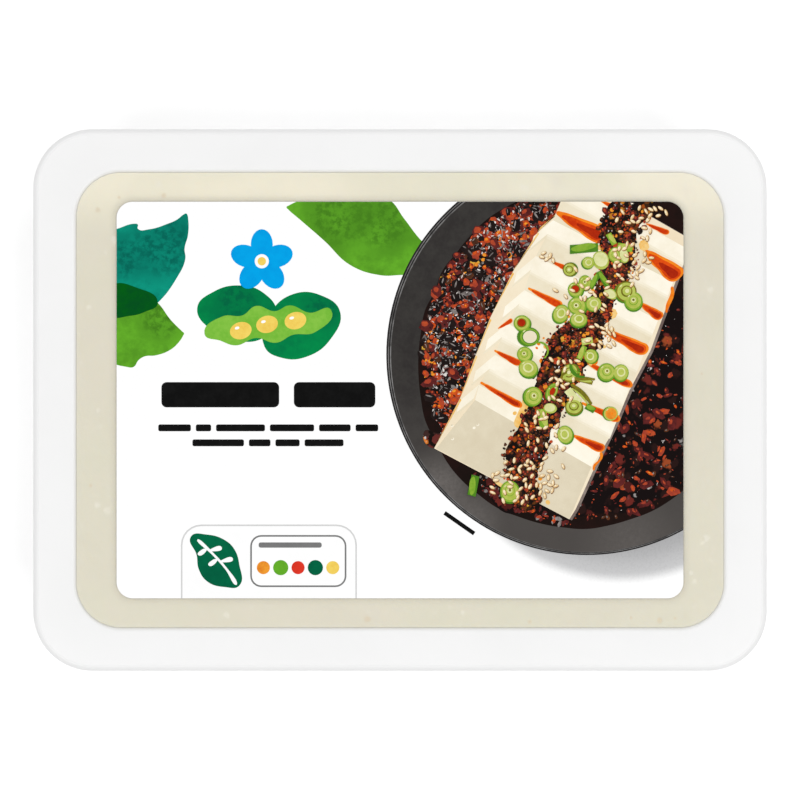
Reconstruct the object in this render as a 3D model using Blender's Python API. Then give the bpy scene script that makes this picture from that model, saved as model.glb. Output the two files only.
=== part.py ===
"""A sealed tray pack of silken tofu: white tray, tofu cast in it, clear lid film and a label on the film.

The pack stands on z = 0 with the middle of its base at the origin, its long side along X and its lid facing up.
Run it with: blender --background --python part.py
"""

import math

import bmesh
import bpy

MM = 0.001

# Driving dimensions of the pack, in metres.
PACK_LENGTH = 140.0 * MM
PACK_WIDTH = 103.4 * MM
TRAY_HEIGHT = 31.5 * MM
RIM_WIDTH = 8.4 * MM
RIM_CORNER_RADIUS = 11.3 * MM
MOUTH_CORNER_RADIUS = 8.5 * MM
BASE_CORNER_RADIUS = 7.4 * MM
WALL_DRAFT = math.radians(6.0)

# The formed sheet of the tray.
SHEET = 0.7 * MM
RIM_SHEET = 0.8 * MM
RIM_EDGE_RADIUS = 1.2 * MM
SKIRT_DROP = 2.1 * MM
MOUTH_RADIUS = 0.9 * MM
HEEL_RADIUS = 4.0 * MM
FOOT_WIDTH = 6.0 * MM
PANEL_RISE = 0.6 * MM
PANEL_SLOPE = 0.8 * MM

# The tofu fills the tray to just under the film, which spans the mouth and lies on the rim.
CLEARANCE = 0.3 * MM
TOFU_HEADROOM = 0.7 * MM
TOFU_EDGE_RADIUS = 0.5 * MM
FILM_THICKNESS = 0.2 * MM
FILM_INSET = 1.4 * MM
LABEL_LENGTH = 107.9 * MM
LABEL_WIDTH = 75.5 * MM
LABEL_THICKNESS = 0.15 * MM
LABEL_CORNER_RADIUS = 3.1 * MM

CORNER_STEPS = 10
ROUND_STEPS = 4
SMOOTH_ANGLE = math.radians(30.0)


def clear_scene():
    """Removes whatever the startup file holds."""
    for thing in list(bpy.data.objects):
        bpy.data.objects.remove(thing)


def finish_material(name, colour, roughness, alpha=1.0):
    """A Principled material of one colour."""
    material = bpy.data.materials.new(name)
    material.use_nodes = True
    shader = material.node_tree.nodes["Principled BSDF"]
    shader.inputs["Base Color"].default_value = (*colour, 1.0)
    shader.inputs["Roughness"].default_value = roughness
    shader.inputs["Metallic"].default_value = 0.0
    shader.inputs["Alpha"].default_value = alpha
    return material


def rounded_outline(length, width, radius, height):
    """Points of a rounded rectangle round the Z axis, anticlockwise from above."""
    points = []
    for quarter in range(4):
        sign_x = (1, -1, -1, 1)[quarter]
        sign_y = (1, 1, -1, -1)[quarter]
        centre_x = sign_x * (length / 2 - radius)
        centre_y = sign_y * (width / 2 - radius)
        for step in range(CORNER_STEPS + 1):
            angle = math.pi / 2 * (quarter + step / CORNER_STEPS)
            x = centre_x + radius * math.cos(angle)
            y = centre_y + radius * math.sin(angle)
            points.append((x, y, height))
    return points


def section(inset, height, radius):
    """One outline of the pack, this far inside the edge of the rim."""
    return rounded_outline(PACK_LENGTH - 2 * inset, PACK_WIDTH - 2 * inset, radius, height)


def loft(name, sections, material):
    """A closed solid through the sections, capped at both ends. They run up and outwards, then back inside."""
    mesh = bpy.data.meshes.new(name)
    shape = bmesh.new()
    rings = [[shape.verts.new(point) for point in outline] for outline in sections]
    for lower, upper in zip(rings, rings[1:]):
        for index, corner in enumerate(lower):
            following = (index + 1) % len(lower)
            shape.faces.new((corner, lower[following], upper[following], upper[index]))
    shape.faces.new(reversed(rings[0]))
    shape.faces.new(rings[-1])
    bmesh.ops.recalc_face_normals(shape, faces=shape.faces)
    shape.to_mesh(mesh)
    shape.free()
    mesh.shade_smooth()
    mesh.set_sharp_from_angle(angle=SMOOTH_ANGLE)
    mesh.materials.append(material)
    solid = bpy.data.objects.new(name, mesh)
    bpy.context.scene.collection.objects.link(solid)
    return solid


def round_profile(centre_inset, centre_height, radius, start, end):
    """(inset, height) points of an arc. Angles run from straight outwards, 0, up to straight up, 90 degrees."""
    points = []
    for step in range(ROUND_STEPS + 1):
        angle = math.radians(start + (end - start) * step / ROUND_STEPS)
        inset = centre_inset - radius * math.cos(angle)
        height = centre_height + radius * math.sin(angle)
        points.append((inset, height))
    return points


def wall_inset(height):
    """How far inside the edge of the rim the inner face of the wall is at this height."""
    return RIM_WIDTH + (TRAY_HEIGHT - height) * math.tan(WALL_DRAFT)


def corner_radius_in_wall(height):
    """Corner radius of the inner face of the wall, which tightens towards the base."""
    share = height / TRAY_HEIGHT
    return BASE_CORNER_RADIUS + (MOUTH_CORNER_RADIUS - BASE_CORNER_RADIUS) * share


def basin_profile(offset):
    """(inset, height, corner radius) down the wall, round the heel and over the raised floor panel.

    offset is how far this surface is inside the inner face of the tray: 0 for that face, negative for the
    outside of the tray, and positive for the tofu.
    """
    floor = SHEET + offset
    heel = HEEL_RADIUS - offset
    draft = math.degrees(WALL_DRAFT)
    heel_centre_height = floor + heel
    lean = offset / math.cos(WALL_DRAFT)
    centre_inset = wall_inset(heel_centre_height) + lean + heel / math.cos(WALL_DRAFT)
    profile = []
    for inset, height in round_profile(centre_inset, heel_centre_height, heel, -draft, -90):
        profile.append((inset, height, corner_radius_in_wall(height) - offset))
    panel_inset = wall_inset(SHEET) + HEEL_RADIUS + FOOT_WIDTH
    panel_radius = BASE_CORNER_RADIUS / 2
    profile.append((panel_inset, floor, panel_radius))
    profile.append((panel_inset + PANEL_SLOPE, floor + PANEL_RISE, panel_radius - PANEL_SLOPE / 2))
    return profile


def rim_profile():
    """(inset, height, corner radius) from under the rim, round its skirt, over the top and into the mouth."""
    under = TRAY_HEIGHT - RIM_SHEET
    skirt_foot = TRAY_HEIGHT - SKIRT_DROP
    outer_wall = wall_inset(under) - SHEET / math.cos(WALL_DRAFT)
    profile = [
        (outer_wall, under, MOUTH_CORNER_RADIUS + SHEET),
        (RIM_SHEET, under, RIM_CORNER_RADIUS - RIM_SHEET),
        (RIM_SHEET, skirt_foot, RIM_CORNER_RADIUS - RIM_SHEET),
        (0.0, skirt_foot, RIM_CORNER_RADIUS),
    ]
    edge_height = TRAY_HEIGHT - RIM_EDGE_RADIUS
    for inset, height in round_profile(RIM_EDGE_RADIUS, edge_height, RIM_EDGE_RADIUS, 0, 90):
        profile.append((inset, height, RIM_CORNER_RADIUS - inset))
    mouth_centre = RIM_WIDTH - MOUTH_RADIUS
    for inset, height in round_profile(mouth_centre, TRAY_HEIGHT - MOUTH_RADIUS, MOUTH_RADIUS, 90, 180):
        profile.append((inset, height, MOUTH_CORNER_RADIUS + RIM_WIDTH - inset))
    return profile


def make_tray(material):
    """The formed tray: a raised base panel, a foot, drafted walls and a flat rim with a turned-down edge."""
    outside = list(reversed(basin_profile(-SHEET)))
    inside = basin_profile(0.0)
    profile = outside + rim_profile() + inside
    return loft("tray", [section(*point) for point in profile], material)


def make_tofu(material):
    """The block cast in the tray, a clearance away from it everywhere and level just under the film."""
    sides = list(reversed(basin_profile(CLEARANCE)))
    top = TRAY_HEIGHT - TOFU_HEADROOM
    lean = CLEARANCE / math.cos(WALL_DRAFT)
    shoulder = top - TOFU_EDGE_RADIUS
    centre_inset = wall_inset(shoulder) + lean + TOFU_EDGE_RADIUS
    for inset, height in round_profile(centre_inset, shoulder, TOFU_EDGE_RADIUS, 0, 90):
        rounding = inset - wall_inset(shoulder)
        sides.append((inset, height, MOUTH_CORNER_RADIUS - rounding))
    return loft("tofu_block", [section(*point) for point in sides], material)


def make_sheet(name, length, width, radius, bottom, thickness, material):
    """A flat sheet with round corners."""
    heights = (bottom, bottom + thickness)
    outlines = [rounded_outline(length, width, radius, height) for height in heights]
    return loft(name, outlines, material)


def build():
    """The whole pack."""
    clear_scene()
    white_plastic = finish_material("white_plastic", (0.88, 0.88, 0.88), 0.35)
    cream_tofu = finish_material("cream_tofu", (0.75, 0.71, 0.58), 0.45)
    clear_film = finish_material("clear_film", (0.95, 0.95, 0.95), 0.1, alpha=0.15)
    white_paper = finish_material("white_label", (0.95, 0.95, 0.95), 0.3)
    make_tray(white_plastic)
    make_tofu(cream_tofu)
    film_bottom = TRAY_HEIGHT + CLEARANCE
    label_bottom = film_bottom + FILM_THICKNESS + CLEARANCE
    film_length = PACK_LENGTH - 2 * FILM_INSET
    film_width = PACK_WIDTH - 2 * FILM_INSET
    film_radius = RIM_CORNER_RADIUS - FILM_INSET
    make_sheet("lid_film", film_length, film_width, film_radius, film_bottom, FILM_THICKNESS, clear_film)
    make_sheet(
        "label", LABEL_LENGTH, LABEL_WIDTH, LABEL_CORNER_RADIUS, label_bottom, LABEL_THICKNESS, white_paper
    )


build()
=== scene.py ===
import math
import random

import bmesh
import bpy
from mathutils import Matrix, Vector


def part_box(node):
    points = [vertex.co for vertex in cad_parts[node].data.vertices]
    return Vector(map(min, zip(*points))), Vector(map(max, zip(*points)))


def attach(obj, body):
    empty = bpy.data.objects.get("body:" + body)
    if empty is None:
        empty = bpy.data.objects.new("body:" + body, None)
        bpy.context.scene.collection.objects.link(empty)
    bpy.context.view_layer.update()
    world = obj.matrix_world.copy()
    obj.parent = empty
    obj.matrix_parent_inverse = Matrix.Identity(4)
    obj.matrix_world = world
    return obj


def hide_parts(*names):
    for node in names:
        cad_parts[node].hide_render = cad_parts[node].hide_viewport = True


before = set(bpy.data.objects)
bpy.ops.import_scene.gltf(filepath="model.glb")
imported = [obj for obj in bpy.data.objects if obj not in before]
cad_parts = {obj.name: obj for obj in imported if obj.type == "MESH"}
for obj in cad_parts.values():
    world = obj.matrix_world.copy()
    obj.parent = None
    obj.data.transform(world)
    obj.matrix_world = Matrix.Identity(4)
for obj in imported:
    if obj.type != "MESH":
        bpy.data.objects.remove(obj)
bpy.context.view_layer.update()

MM = 0.001
BODY = "root"

# The pack's sizes, from the parts in model.glb.
TRAY_LOW, TRAY_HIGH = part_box("tray")
LABEL_LOW, LABEL_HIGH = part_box("label")
PACK_LENGTH = TRAY_HIGH.x - TRAY_LOW.x
PACK_WIDTH = TRAY_HIGH.y - TRAY_LOW.y
RIM_TOP = TRAY_HIGH.z
LABEL_LENGTH = LABEL_HIGH.x - LABEL_LOW.x
LABEL_WIDTH = LABEL_HIGH.y - LABEL_LOW.y
FILM_INSET = 1.1 * MM
FILM_LENGTH = PACK_LENGTH - 2 * FILM_INSET
FILM_WIDTH = PACK_WIDTH - 2 * FILM_INSET

# The tray's formed sheet.
SHEET = 0.7 * MM
RIM_SHEET = 0.8 * MM
RIM_WIDTH = 8.4 * MM
RIM_CORNER = 11.3 * MM
RIM_EDGE_RADIUS = 1.2 * MM
SKIRT_DROP = 2.1 * MM
MOUTH_CORNER = 8.5 * MM
MOUTH_RADIUS = 0.9 * MM
BASE_CORNER = 7.4 * MM
WALL_DRAFT = math.radians(6.0)
HEEL_RADIUS = 4.0 * MM
FOOT_WIDTH = 6.0 * MM
PANEL_RISE = 0.6 * MM
PANEL_SLOPE = 0.8 * MM
CORNER_SEGMENTS = 24
ROUND_SEGMENTS = 8
STACK_STEP = 20 * MM

# Heights of what lies on the tray.
TOFU_TOP = RIM_TOP - 0.2 * MM
FILM_BOTTOM = RIM_TOP + 0.06 * MM
FILM_THICKNESS = 0.08 * MM
LABEL_BOTTOM = FILM_BOTTOM + FILM_THICKNESS + 0.06 * MM
LABEL_THICKNESS = 0.1 * MM
LABEL_TOP = LABEL_BOTTOM + LABEL_THICKNESS
LABEL_CORNER = 3.1 * MM

SMOOTH_ANGLE = math.radians(35.0)


# ---------------------------------------------------------------- modelling

def deselect():
    bpy.ops.object.select_all(action="DESELECT")


def choose(piece):
    """Makes this piece the one selected and active object."""
    deselect()
    piece.select_set(True)
    bpy.context.view_layer.objects.active = piece


def named(name):
    """Names the object that was just added."""
    piece = bpy.context.active_object
    piece.name = name
    piece.data.name = name
    return piece


def place_in_mesh(piece):
    """Puts the piece's place, turn and size into its mesh."""
    choose(piece)
    bpy.ops.object.transform_apply(location=True, rotation=True, scale=True)


def apply_modifiers(piece):
    choose(piece)
    for modifier in list(piece.modifiers):
        bpy.ops.object.modifier_apply(modifier=modifier.name)


def smooth(piece, angle=SMOOTH_ANGLE):
    choose(piece)
    bpy.ops.object.shade_smooth_by_angle(angle=angle)


def finish_piece(piece, material, stands_for=None):
    """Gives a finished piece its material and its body."""
    piece.data.materials.clear()
    piece.data.materials.append(material)
    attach(piece, BODY)
    if stands_for:
        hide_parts(stands_for)
    return piece


def empty_mesh(name):
    """A mesh object with nothing in it yet, in edit mode."""
    deselect()
    bpy.ops.mesh.primitive_plane_add(size=1)
    piece = named(name)
    bpy.ops.object.mode_set(mode="EDIT")
    bpy.ops.mesh.select_all(action="SELECT")
    bpy.ops.mesh.delete(type="VERT")
    return piece


def draw_ring(piece, number, length, width, radius, height):
    """Adds a rounded rectangle of edges to the mesh in edit mode, each corner marked with this number."""
    bpy.ops.mesh.select_all(action="DESELECT")
    bpy.ops.mesh.primitive_plane_add(size=1, location=(0, 0, height))
    bpy.ops.transform.resize(value=(length, width, 1), center_override=(0, 0, height))
    bpy.ops.mesh.bevel(offset=radius, segments=CORNER_SEGMENTS, affect="VERTICES")
    shape = bmesh.from_edit_mesh(piece.data)
    mark = shape.verts.layers.int["ring"]
    for corner in shape.verts:
        if corner.select:
            corner[mark] = number
    bpy.ops.mesh.delete(type="ONLY_FACE")


def select_rings(piece, *numbers):
    """Selects the edges that lie within each of these rings."""
    bpy.ops.mesh.select_all(action="DESELECT")
    shape = bmesh.from_edit_mesh(piece.data)
    mark = shape.verts.layers.int["ring"]
    for edge in shape.edges:
        first, second = edge.verts
        if first[mark] == second[mark] and first[mark] in numbers:
            edge.select_set(True)
    bmesh.update_edit_mesh(piece.data)


def loft(name, rings):
    """A closed solid through rounded rectangles, each (length, width, radius, height).

    The rings are bridged while they stand one above the other, and then moved to their heights."""
    piece = empty_mesh(name)
    shape = bmesh.from_edit_mesh(piece.data)
    shape.verts.layers.int.new("ring")
    bmesh.update_edit_mesh(piece.data)
    for number, (length, width, radius, height) in enumerate(rings, 1):
        draw_ring(piece, number, length, width, radius, number * STACK_STEP)
        if number > 1:
            select_rings(piece, number - 1, number)
            bpy.ops.mesh.bridge_edge_loops()
    for end in (1, len(rings)):
        select_rings(piece, end)
        bpy.ops.mesh.edge_face_add()
    for number, (length, width, radius, height) in enumerate(rings, 1):
        select_rings(piece, number)
        bpy.ops.transform.translate(value=(0, 0, height - number * STACK_STEP))
    bpy.ops.mesh.select_all(action="SELECT")
    bpy.ops.mesh.normals_make_consistent(inside=False)
    bpy.ops.object.mode_set(mode="OBJECT")
    return piece


def arc(centre_inset, centre_height, radius, start, end):
    """(inset, height) points of a round. 0 degrees is straight outwards and 90 straight up."""
    points = []
    for step in range(ROUND_SEGMENTS + 1):
        angle = math.radians(start + (end - start) * step / ROUND_SEGMENTS)
        points.append((centre_inset - radius * math.cos(angle), centre_height + radius * math.sin(angle)))
    return points


def ring_at(inset, height, radius):
    return (PACK_LENGTH - 2 * inset, PACK_WIDTH - 2 * inset, radius, height)


# ---------------------------------------------------------------- materials

def new_material(name):
    """An empty material and the two things that build it."""
    material = bpy.data.materials.new(name)
    material.use_nodes = True
    tree = material.node_tree
    shader = tree.nodes["Principled BSDF"]
    return material, tree, shader


def add(tree, kind, **settings):
    node = tree.nodes.new(kind)
    for name, value in settings.items():
        if name in node.inputs:
            node.inputs[name].default_value = value
        else:
            setattr(node, name, value)
    return node


def object_place(tree):
    return add(tree, "ShaderNodeTexCoord").outputs["Object"]


def noise(tree, place, scale, detail=3.0, roughness=0.55):
    """Noise of this many cells a metre."""
    node = add(tree, "ShaderNodeTexNoise", Scale=scale, Detail=detail, Roughness=roughness)
    tree.links.new(place, node.inputs["Vector"])
    return node.outputs["Fac"]


def remap(tree, value, low, high, to_low=0.0, to_high=1.0, smooth_ends=True):
    node = add(tree, "ShaderNodeMapRange")
    node.interpolation_type = "SMOOTHSTEP" if smooth_ends else "LINEAR"
    tree.links.new(value, node.inputs["Value"])
    node.inputs["From Min"].default_value = low
    node.inputs["From Max"].default_value = high
    node.inputs["To Min"].default_value = to_low
    node.inputs["To Max"].default_value = to_high
    return node.outputs["Result"]


def sum_of(tree, operation, first, second):
    node = add(tree, "ShaderNodeMath", operation=operation)
    for socket, value in zip(node.inputs, (first, second)):
        if isinstance(value, (int, float)):
            socket.default_value = value
        else:
            tree.links.new(value, socket)
    return node.outputs["Value"]


def blend(tree, share, first, second):
    """Mixes two colours, each a socket or three numbers."""
    node = add(tree, "ShaderNodeMix", data_type="RGBA")
    if isinstance(share, (int, float)):
        node.inputs[0].default_value = share
    else:
        tree.links.new(share, node.inputs[0])
    for socket, value in zip((node.inputs[6], node.inputs[7]), (first, second)):
        if isinstance(value, tuple):
            socket.default_value = (*value, 1.0)
        else:
            tree.links.new(value, socket)
    return node.outputs[2]


def distance_from(tree, place, centre):
    """Distance in metres, across the lid, from a point on the label's plane."""
    flat = add(tree, "ShaderNodeVectorMath", operation="MULTIPLY")
    tree.links.new(place, flat.inputs[0])
    flat.inputs[1].default_value = (1, 1, 0)
    away = add(tree, "ShaderNodeVectorMath", operation="DISTANCE")
    tree.links.new(flat.outputs["Vector"], away.inputs[0])
    away.inputs[1].default_value = (centre[0], centre[1], 0)
    return away.outputs["Value"]


def beyond_outline(tree, place, length, width, radius):
    """Metres outside a rounded rectangle about the Z axis; less than 0 inside it."""
    size = add(tree, "ShaderNodeVectorMath", operation="ABSOLUTE")
    tree.links.new(place, size.inputs[0])
    over = add(tree, "ShaderNodeVectorMath", operation="SUBTRACT")
    tree.links.new(size.outputs["Vector"], over.inputs[0])
    over.inputs[1].default_value = (length / 2 - radius, width / 2 - radius, 1.0)
    past = add(tree, "ShaderNodeVectorMath", operation="MAXIMUM")
    tree.links.new(over.outputs["Vector"], past.inputs[0])
    past.inputs[1].default_value = (0, 0, 0)
    far = add(tree, "ShaderNodeVectorMath", operation="LENGTH")
    tree.links.new(past.outputs["Vector"], far.inputs[0])
    return sum_of(tree, "SUBTRACT", far.outputs["Value"], radius)


def bump(tree, shader, height, depth, strength=1.0):
    node = add(tree, "ShaderNodeBump", Strength=strength, Distance=depth)
    tree.links.new(height, node.inputs["Height"])
    tree.links.new(node.outputs["Normal"], shader.inputs["Normal"])


def tray_plastic():
    """Satin white formed plastic with a faint flow pattern, a slightly uneven sheen and painted shade at the
    rim's edge.
    """
    material, tree, shader = new_material("satin_white_plastic")
    place = object_place(tree)
    flow = noise(tree, place, 45.0, 4.0)
    grain = noise(tree, place, 2600.0, 2.0)
    colour = blend(tree, remap(tree, flow, 0.3, 0.7), (0.872, 0.872, 0.870), (0.884, 0.884, 0.883))
    # Painted shade: the rim's outermost millimetre, where its edge turns down, is darkened in its colour.
    beyond = beyond_outline(tree, place, PACK_LENGTH, PACK_WIDTH, RIM_CORNER)
    colour = blend(tree, remap(tree, beyond, -1.25 * MM, -0.95 * MM), colour, (0.845, 0.845, 0.845))
    tree.links.new(colour, shader.inputs["Base Color"])
    tree.links.new(remap(tree, flow, 0.25, 0.75, 0.30, 0.40), shader.inputs["Roughness"])
    shader.inputs["IOR"].default_value = 1.49
    bump(tree, shader, grain, 0.012 * MM, 0.6)
    return material


TOFU_SPOTS = (
    (-58.9, -16.3, 0.5), (-6.2, -41.7, 0.9), (24.7, -42.2, 0.6), (44.0, -41.5, 0.5), (49.5, -42.0, 0.8),
    (52.4, -41.6, 0.4), (-53.5, 38.6, 0.5), (-57.6, 36.2, 0.8), (-45.0, 38.9, 0.7), (57.5, 5.0, 0.4),
)
TOFU_FLECKS = (
    (-59.3, 17.7, 0.7), (-55.6, -21.0, 1.1), (-57.8, -20.0, 0.8), (23.9, 40.4, 1.2), (41.5, 40.6, 0.9),
    (57.6, -27.2, 0.6), (56.1, -34.5, 0.7), (58.6, -26.2, 0.9), (-54.5, 30.5, 1.0), (-46.0, 41.0, 0.8),
    (55.5, -33.0, 0.5), (-33.0, -41.0, 0.8), (12.0, -40.5, 0.6), (59.0, 21.0, 0.8), (-57.5, -2.0, 0.6),
)


def tofu_curd():
    """Moist cream bean curd: a slow change of tint, fine curd grain, brown spots, pale flecks and painted shade
    by the label.
    """
    material, tree, shader = new_material("cream_bean_curd")
    place = object_place(tree)
    parts = add(tree, "ShaderNodeSeparateXYZ")
    tree.links.new(place, parts.inputs[0])
    towards_top = remap(tree, parts.outputs["Y"], 30 * MM, 41 * MM)
    slow = noise(tree, place, 28.0, 3.0)
    middle = noise(tree, place, 160.0, 4.0)
    fine = noise(tree, place, 900.0, 3.0)
    colour = blend(tree, towards_top, TOFU_SIDE, TOFU_BRIGHT)
    colour = blend(tree, remap(tree, slow, 0.42, 0.68, 0.0, 0.55), colour, TOFU_GREENISH)
    colour = blend(tree, remap(tree, middle, 0.5, 0.75, 0.0, 0.35), colour, TOFU_ROSY)
    colour = blend(tree, remap(tree, fine, 0.58, 0.8, 0.0, 0.4), colour, TOFU_PALE)
    # Painted shade: the curd is darker within about 1.7 mm of the label's edge, where the label's shadow falls.
    beyond = beyond_outline(tree, place, LABEL_LENGTH, LABEL_WIDTH, LABEL_CORNER)
    colour = blend(tree, remap(tree, beyond, 1.7 * MM, -0.2 * MM, 0.0, 1.0), colour, TOFU_LABEL_SHADE)
    for x, y, size in TOFU_SPOTS:
        away = distance_from(tree, place, (x * MM, y * MM))
        uneven = 0.3 * size * MM
        ragged = sum_of(tree, "ADD", away, remap(tree, fine, 0.0, 1.0, -uneven, uneven, False))
        share = remap(tree, ragged, 0.25 * size * MM, size * MM, 0.45, 0.0)
        colour = blend(tree, share, colour, TOFU_SPOT)
    for x, y, size in TOFU_FLECKS:
        away = distance_from(tree, place, (x * MM, y * MM))
        uneven = 0.6 * size * MM
        ragged = sum_of(tree, "ADD", away, remap(tree, fine, 0.2, 0.8, -uneven, uneven, False))
        share = remap(tree, ragged, 0.3 * size * MM, size * MM, 0.6, 0.0)
        colour = blend(tree, share, colour, TOFU_PALE)
    tree.links.new(colour, shader.inputs["Base Color"])
    tree.links.new(remap(tree, middle, 0.3, 0.7, 0.28, 0.42), shader.inputs["Roughness"])
    shader.inputs["Subsurface Weight"].default_value = 0.2
    shader.inputs["Subsurface Radius"].default_value = (1.0, 0.8, 0.5)
    shader.inputs["Subsurface Scale"].default_value = 1.5 * MM
    bump(tree, shader, fine, 0.03 * MM, 0.5)
    return material


TOFU_SIDE = (0.712, 0.670, 0.540)
TOFU_BRIGHT = (0.850, 0.798, 0.638)
TOFU_GREENISH = (0.702, 0.684, 0.530)
TOFU_ROSY = (0.730, 0.668, 0.560)
TOFU_PALE = (0.810, 0.780, 0.670)
# The colour of the painted shade next to the label's edge.
TOFU_LABEL_SHADE = (0.650, 0.608, 0.480)
TOFU_SPOT = (0.660, 0.520, 0.330)


def lid_film_clear():
    """Clear glossy film: light goes through it, and it mirrors more at a slant."""
    material, tree, shader = new_material("clear_lid_film")
    place = object_place(tree)
    ripple = noise(tree, place, 130.0, 2.0)
    shader.inputs["Base Color"].default_value = (0.9, 0.9, 0.9, 1.0)
    shader.inputs["Roughness"].default_value = 0.06
    shader.inputs["IOR"].default_value = 1.45
    shader.inputs["Specular IOR Level"].default_value = 1.0
    bump(tree, shader, ripple, 0.05 * MM, 0.4)
    clear = add(tree, "ShaderNodeBsdfTransparent")
    clear.inputs["Color"].default_value = (0.995, 0.995, 0.995, 1.0)
    slant = add(tree, "ShaderNodeLayerWeight", Blend=0.5)
    steep = sum_of(tree, "POWER", slant.outputs["Facing"], 4.0)
    gloss = remap(tree, steep, 0.0, 1.0, 0.045, 0.9, False)
    mix = add(tree, "ShaderNodeMixShader")
    output = tree.nodes["Material Output"]
    tree.links.new(gloss, mix.inputs[0])
    tree.links.new(clear.outputs["BSDF"], mix.inputs[1])
    tree.links.new(shader.outputs["BSDF"], mix.inputs[2])
    tree.links.new(mix.outputs["Shader"], output.inputs["Surface"])
    return material


# ---------------------------------------------------------------- the pack

def wall_inset(height):
    """How far inside the rim's edge the inner face of the wall is at this height."""
    return RIM_WIDTH + (RIM_TOP - height) * math.tan(WALL_DRAFT)


def wall_corner(height):
    share = height / RIM_TOP
    return BASE_CORNER + (MOUTH_CORNER - BASE_CORNER) * share


def basin(offset):
    """(inset, height, corner radius) down the wall, round the heel and over the floor panel."""
    floor = SHEET + offset
    heel = HEEL_RADIUS - offset
    centre_height = floor + heel
    centre_inset = wall_inset(centre_height) + (offset + heel) / math.cos(WALL_DRAFT)
    points = []
    for inset, height in arc(centre_inset, centre_height, heel, -math.degrees(WALL_DRAFT), -90):
        points.append((inset, height, wall_corner(height) - offset))
    panel_inset = wall_inset(SHEET) + HEEL_RADIUS + FOOT_WIDTH
    panel_corner = BASE_CORNER / 2
    points.append((panel_inset, floor, panel_corner))
    points.append((panel_inset + PANEL_SLOPE / 2, floor + PANEL_RISE / 2, panel_corner - PANEL_SLOPE / 4))
    points.append((panel_inset + PANEL_SLOPE, floor + PANEL_RISE, panel_corner - PANEL_SLOPE / 2))
    return points


def rim():
    """(inset, height, corner radius) from under the rim, round its skirt and over into the mouth."""
    under = RIM_TOP - RIM_SHEET
    skirt_foot = RIM_TOP - SKIRT_DROP
    outer_wall = wall_inset(under) - SHEET / math.cos(WALL_DRAFT)
    inner_round = RIM_EDGE_RADIUS - RIM_SHEET / 2
    points = [(outer_wall, under - MOUTH_RADIUS / 2, MOUTH_CORNER + SHEET)]
    mouth_round = MOUTH_RADIUS / 2
    for inset, height in arc(outer_wall - mouth_round, under - mouth_round, mouth_round, 180, 90):
        points.append((inset, height, MOUTH_CORNER + SHEET + outer_wall - inset))
    for inset, height in arc(RIM_SHEET + inner_round, under - inner_round, inner_round, 90, 0):
        points.append((inset, height, RIM_CORNER - inset))
    points.append((RIM_SHEET, skirt_foot, RIM_CORNER - RIM_SHEET))
    points.append((0.0, skirt_foot, RIM_CORNER))
    for inset, height in arc(RIM_EDGE_RADIUS, RIM_TOP - RIM_EDGE_RADIUS, RIM_EDGE_RADIUS, 0, 90):
        points.append((inset, height, RIM_CORNER - inset))
    for inset, height in arc(RIM_WIDTH - MOUTH_RADIUS, RIM_TOP - MOUTH_RADIUS, MOUTH_RADIUS, 90, 180):
        points.append((inset, height, MOUTH_CORNER + RIM_WIDTH - inset))
    return points


def make_tray():
    """The formed tray: raised base panel, foot, drafted walls and a flat rim with a turned-down edge."""
    profile = list(reversed(basin(-SHEET))) + rim() + basin(0.0)
    tray = loft("tray_shell", [ring_at(*point) for point in profile])
    smooth(tray)
    return finish_piece(tray, tray_plastic(), "tray")


def rounded_sheet(name, length, width, radius, height, cells):
    """A grid trimmed to a rounded rectangle, left in edit mode."""
    deselect()
    bpy.ops.mesh.primitive_grid_add(
        x_subdivisions=round(length / cells),
        y_subdivisions=round(width / cells),
        size=1,
        location=(0, 0, height),
    )
    piece = named(name)
    bpy.ops.object.transform_apply(location=True)
    bpy.ops.object.mode_set(mode="EDIT")
    bpy.ops.transform.resize(value=(length, width, 1), center_override=(0, 0, height))
    cut_to_outline(length, width, radius, fill=False)
    return piece


def cut_to_outline(length, width, radius, fill, steps=8):
    """Cuts the mesh in edit mode to a rounded rectangle about the Z axis, one straight cut after another."""
    for sign_x, sign_y in ((1, 1), (-1, 1), (-1, -1), (1, -1)):
        middle = Vector((sign_x * (length / 2 - radius), sign_y * (width / 2 - radius), 0))
        for step in range(steps + 1):
            angle = math.pi / 2 * step / steps
            outwards = Vector((sign_x * math.cos(angle), sign_y * math.sin(angle), 0))
            bpy.ops.mesh.select_all(action="SELECT")
            bpy.ops.mesh.bisect(
                plane_co=middle + outwards * radius, plane_no=outwards, use_fill=fill, clear_outer=True,
                threshold=0.0001 * MM,
            )


def in_ring_about_label(point, inside, outside):
    """True between two outlines that are this far inside and outside the label's edge."""
    x, y = abs(point.x), abs(point.y)
    far = x > LABEL_LENGTH / 2 + outside or y > LABEL_WIDTH / 2 + outside
    near = x < LABEL_LENGTH / 2 - inside and y < LABEL_WIDTH / 2 - inside
    return not far and not near


def cloud(name, size, depth=2):
    texture = bpy.data.textures.new(name, "CLOUDS")
    texture.noise_scale = size
    texture.noise_depth = depth
    return texture


def displace(piece, texture, strength, group):
    modifier = piece.modifiers.new(texture.name, "DISPLACE")
    modifier.texture = texture
    modifier.texture_coords = "LOCAL"
    modifier.direction = "Z"
    modifier.strength = strength
    modifier.mid_level = 0.5
    modifier.vertex_group = group


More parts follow.
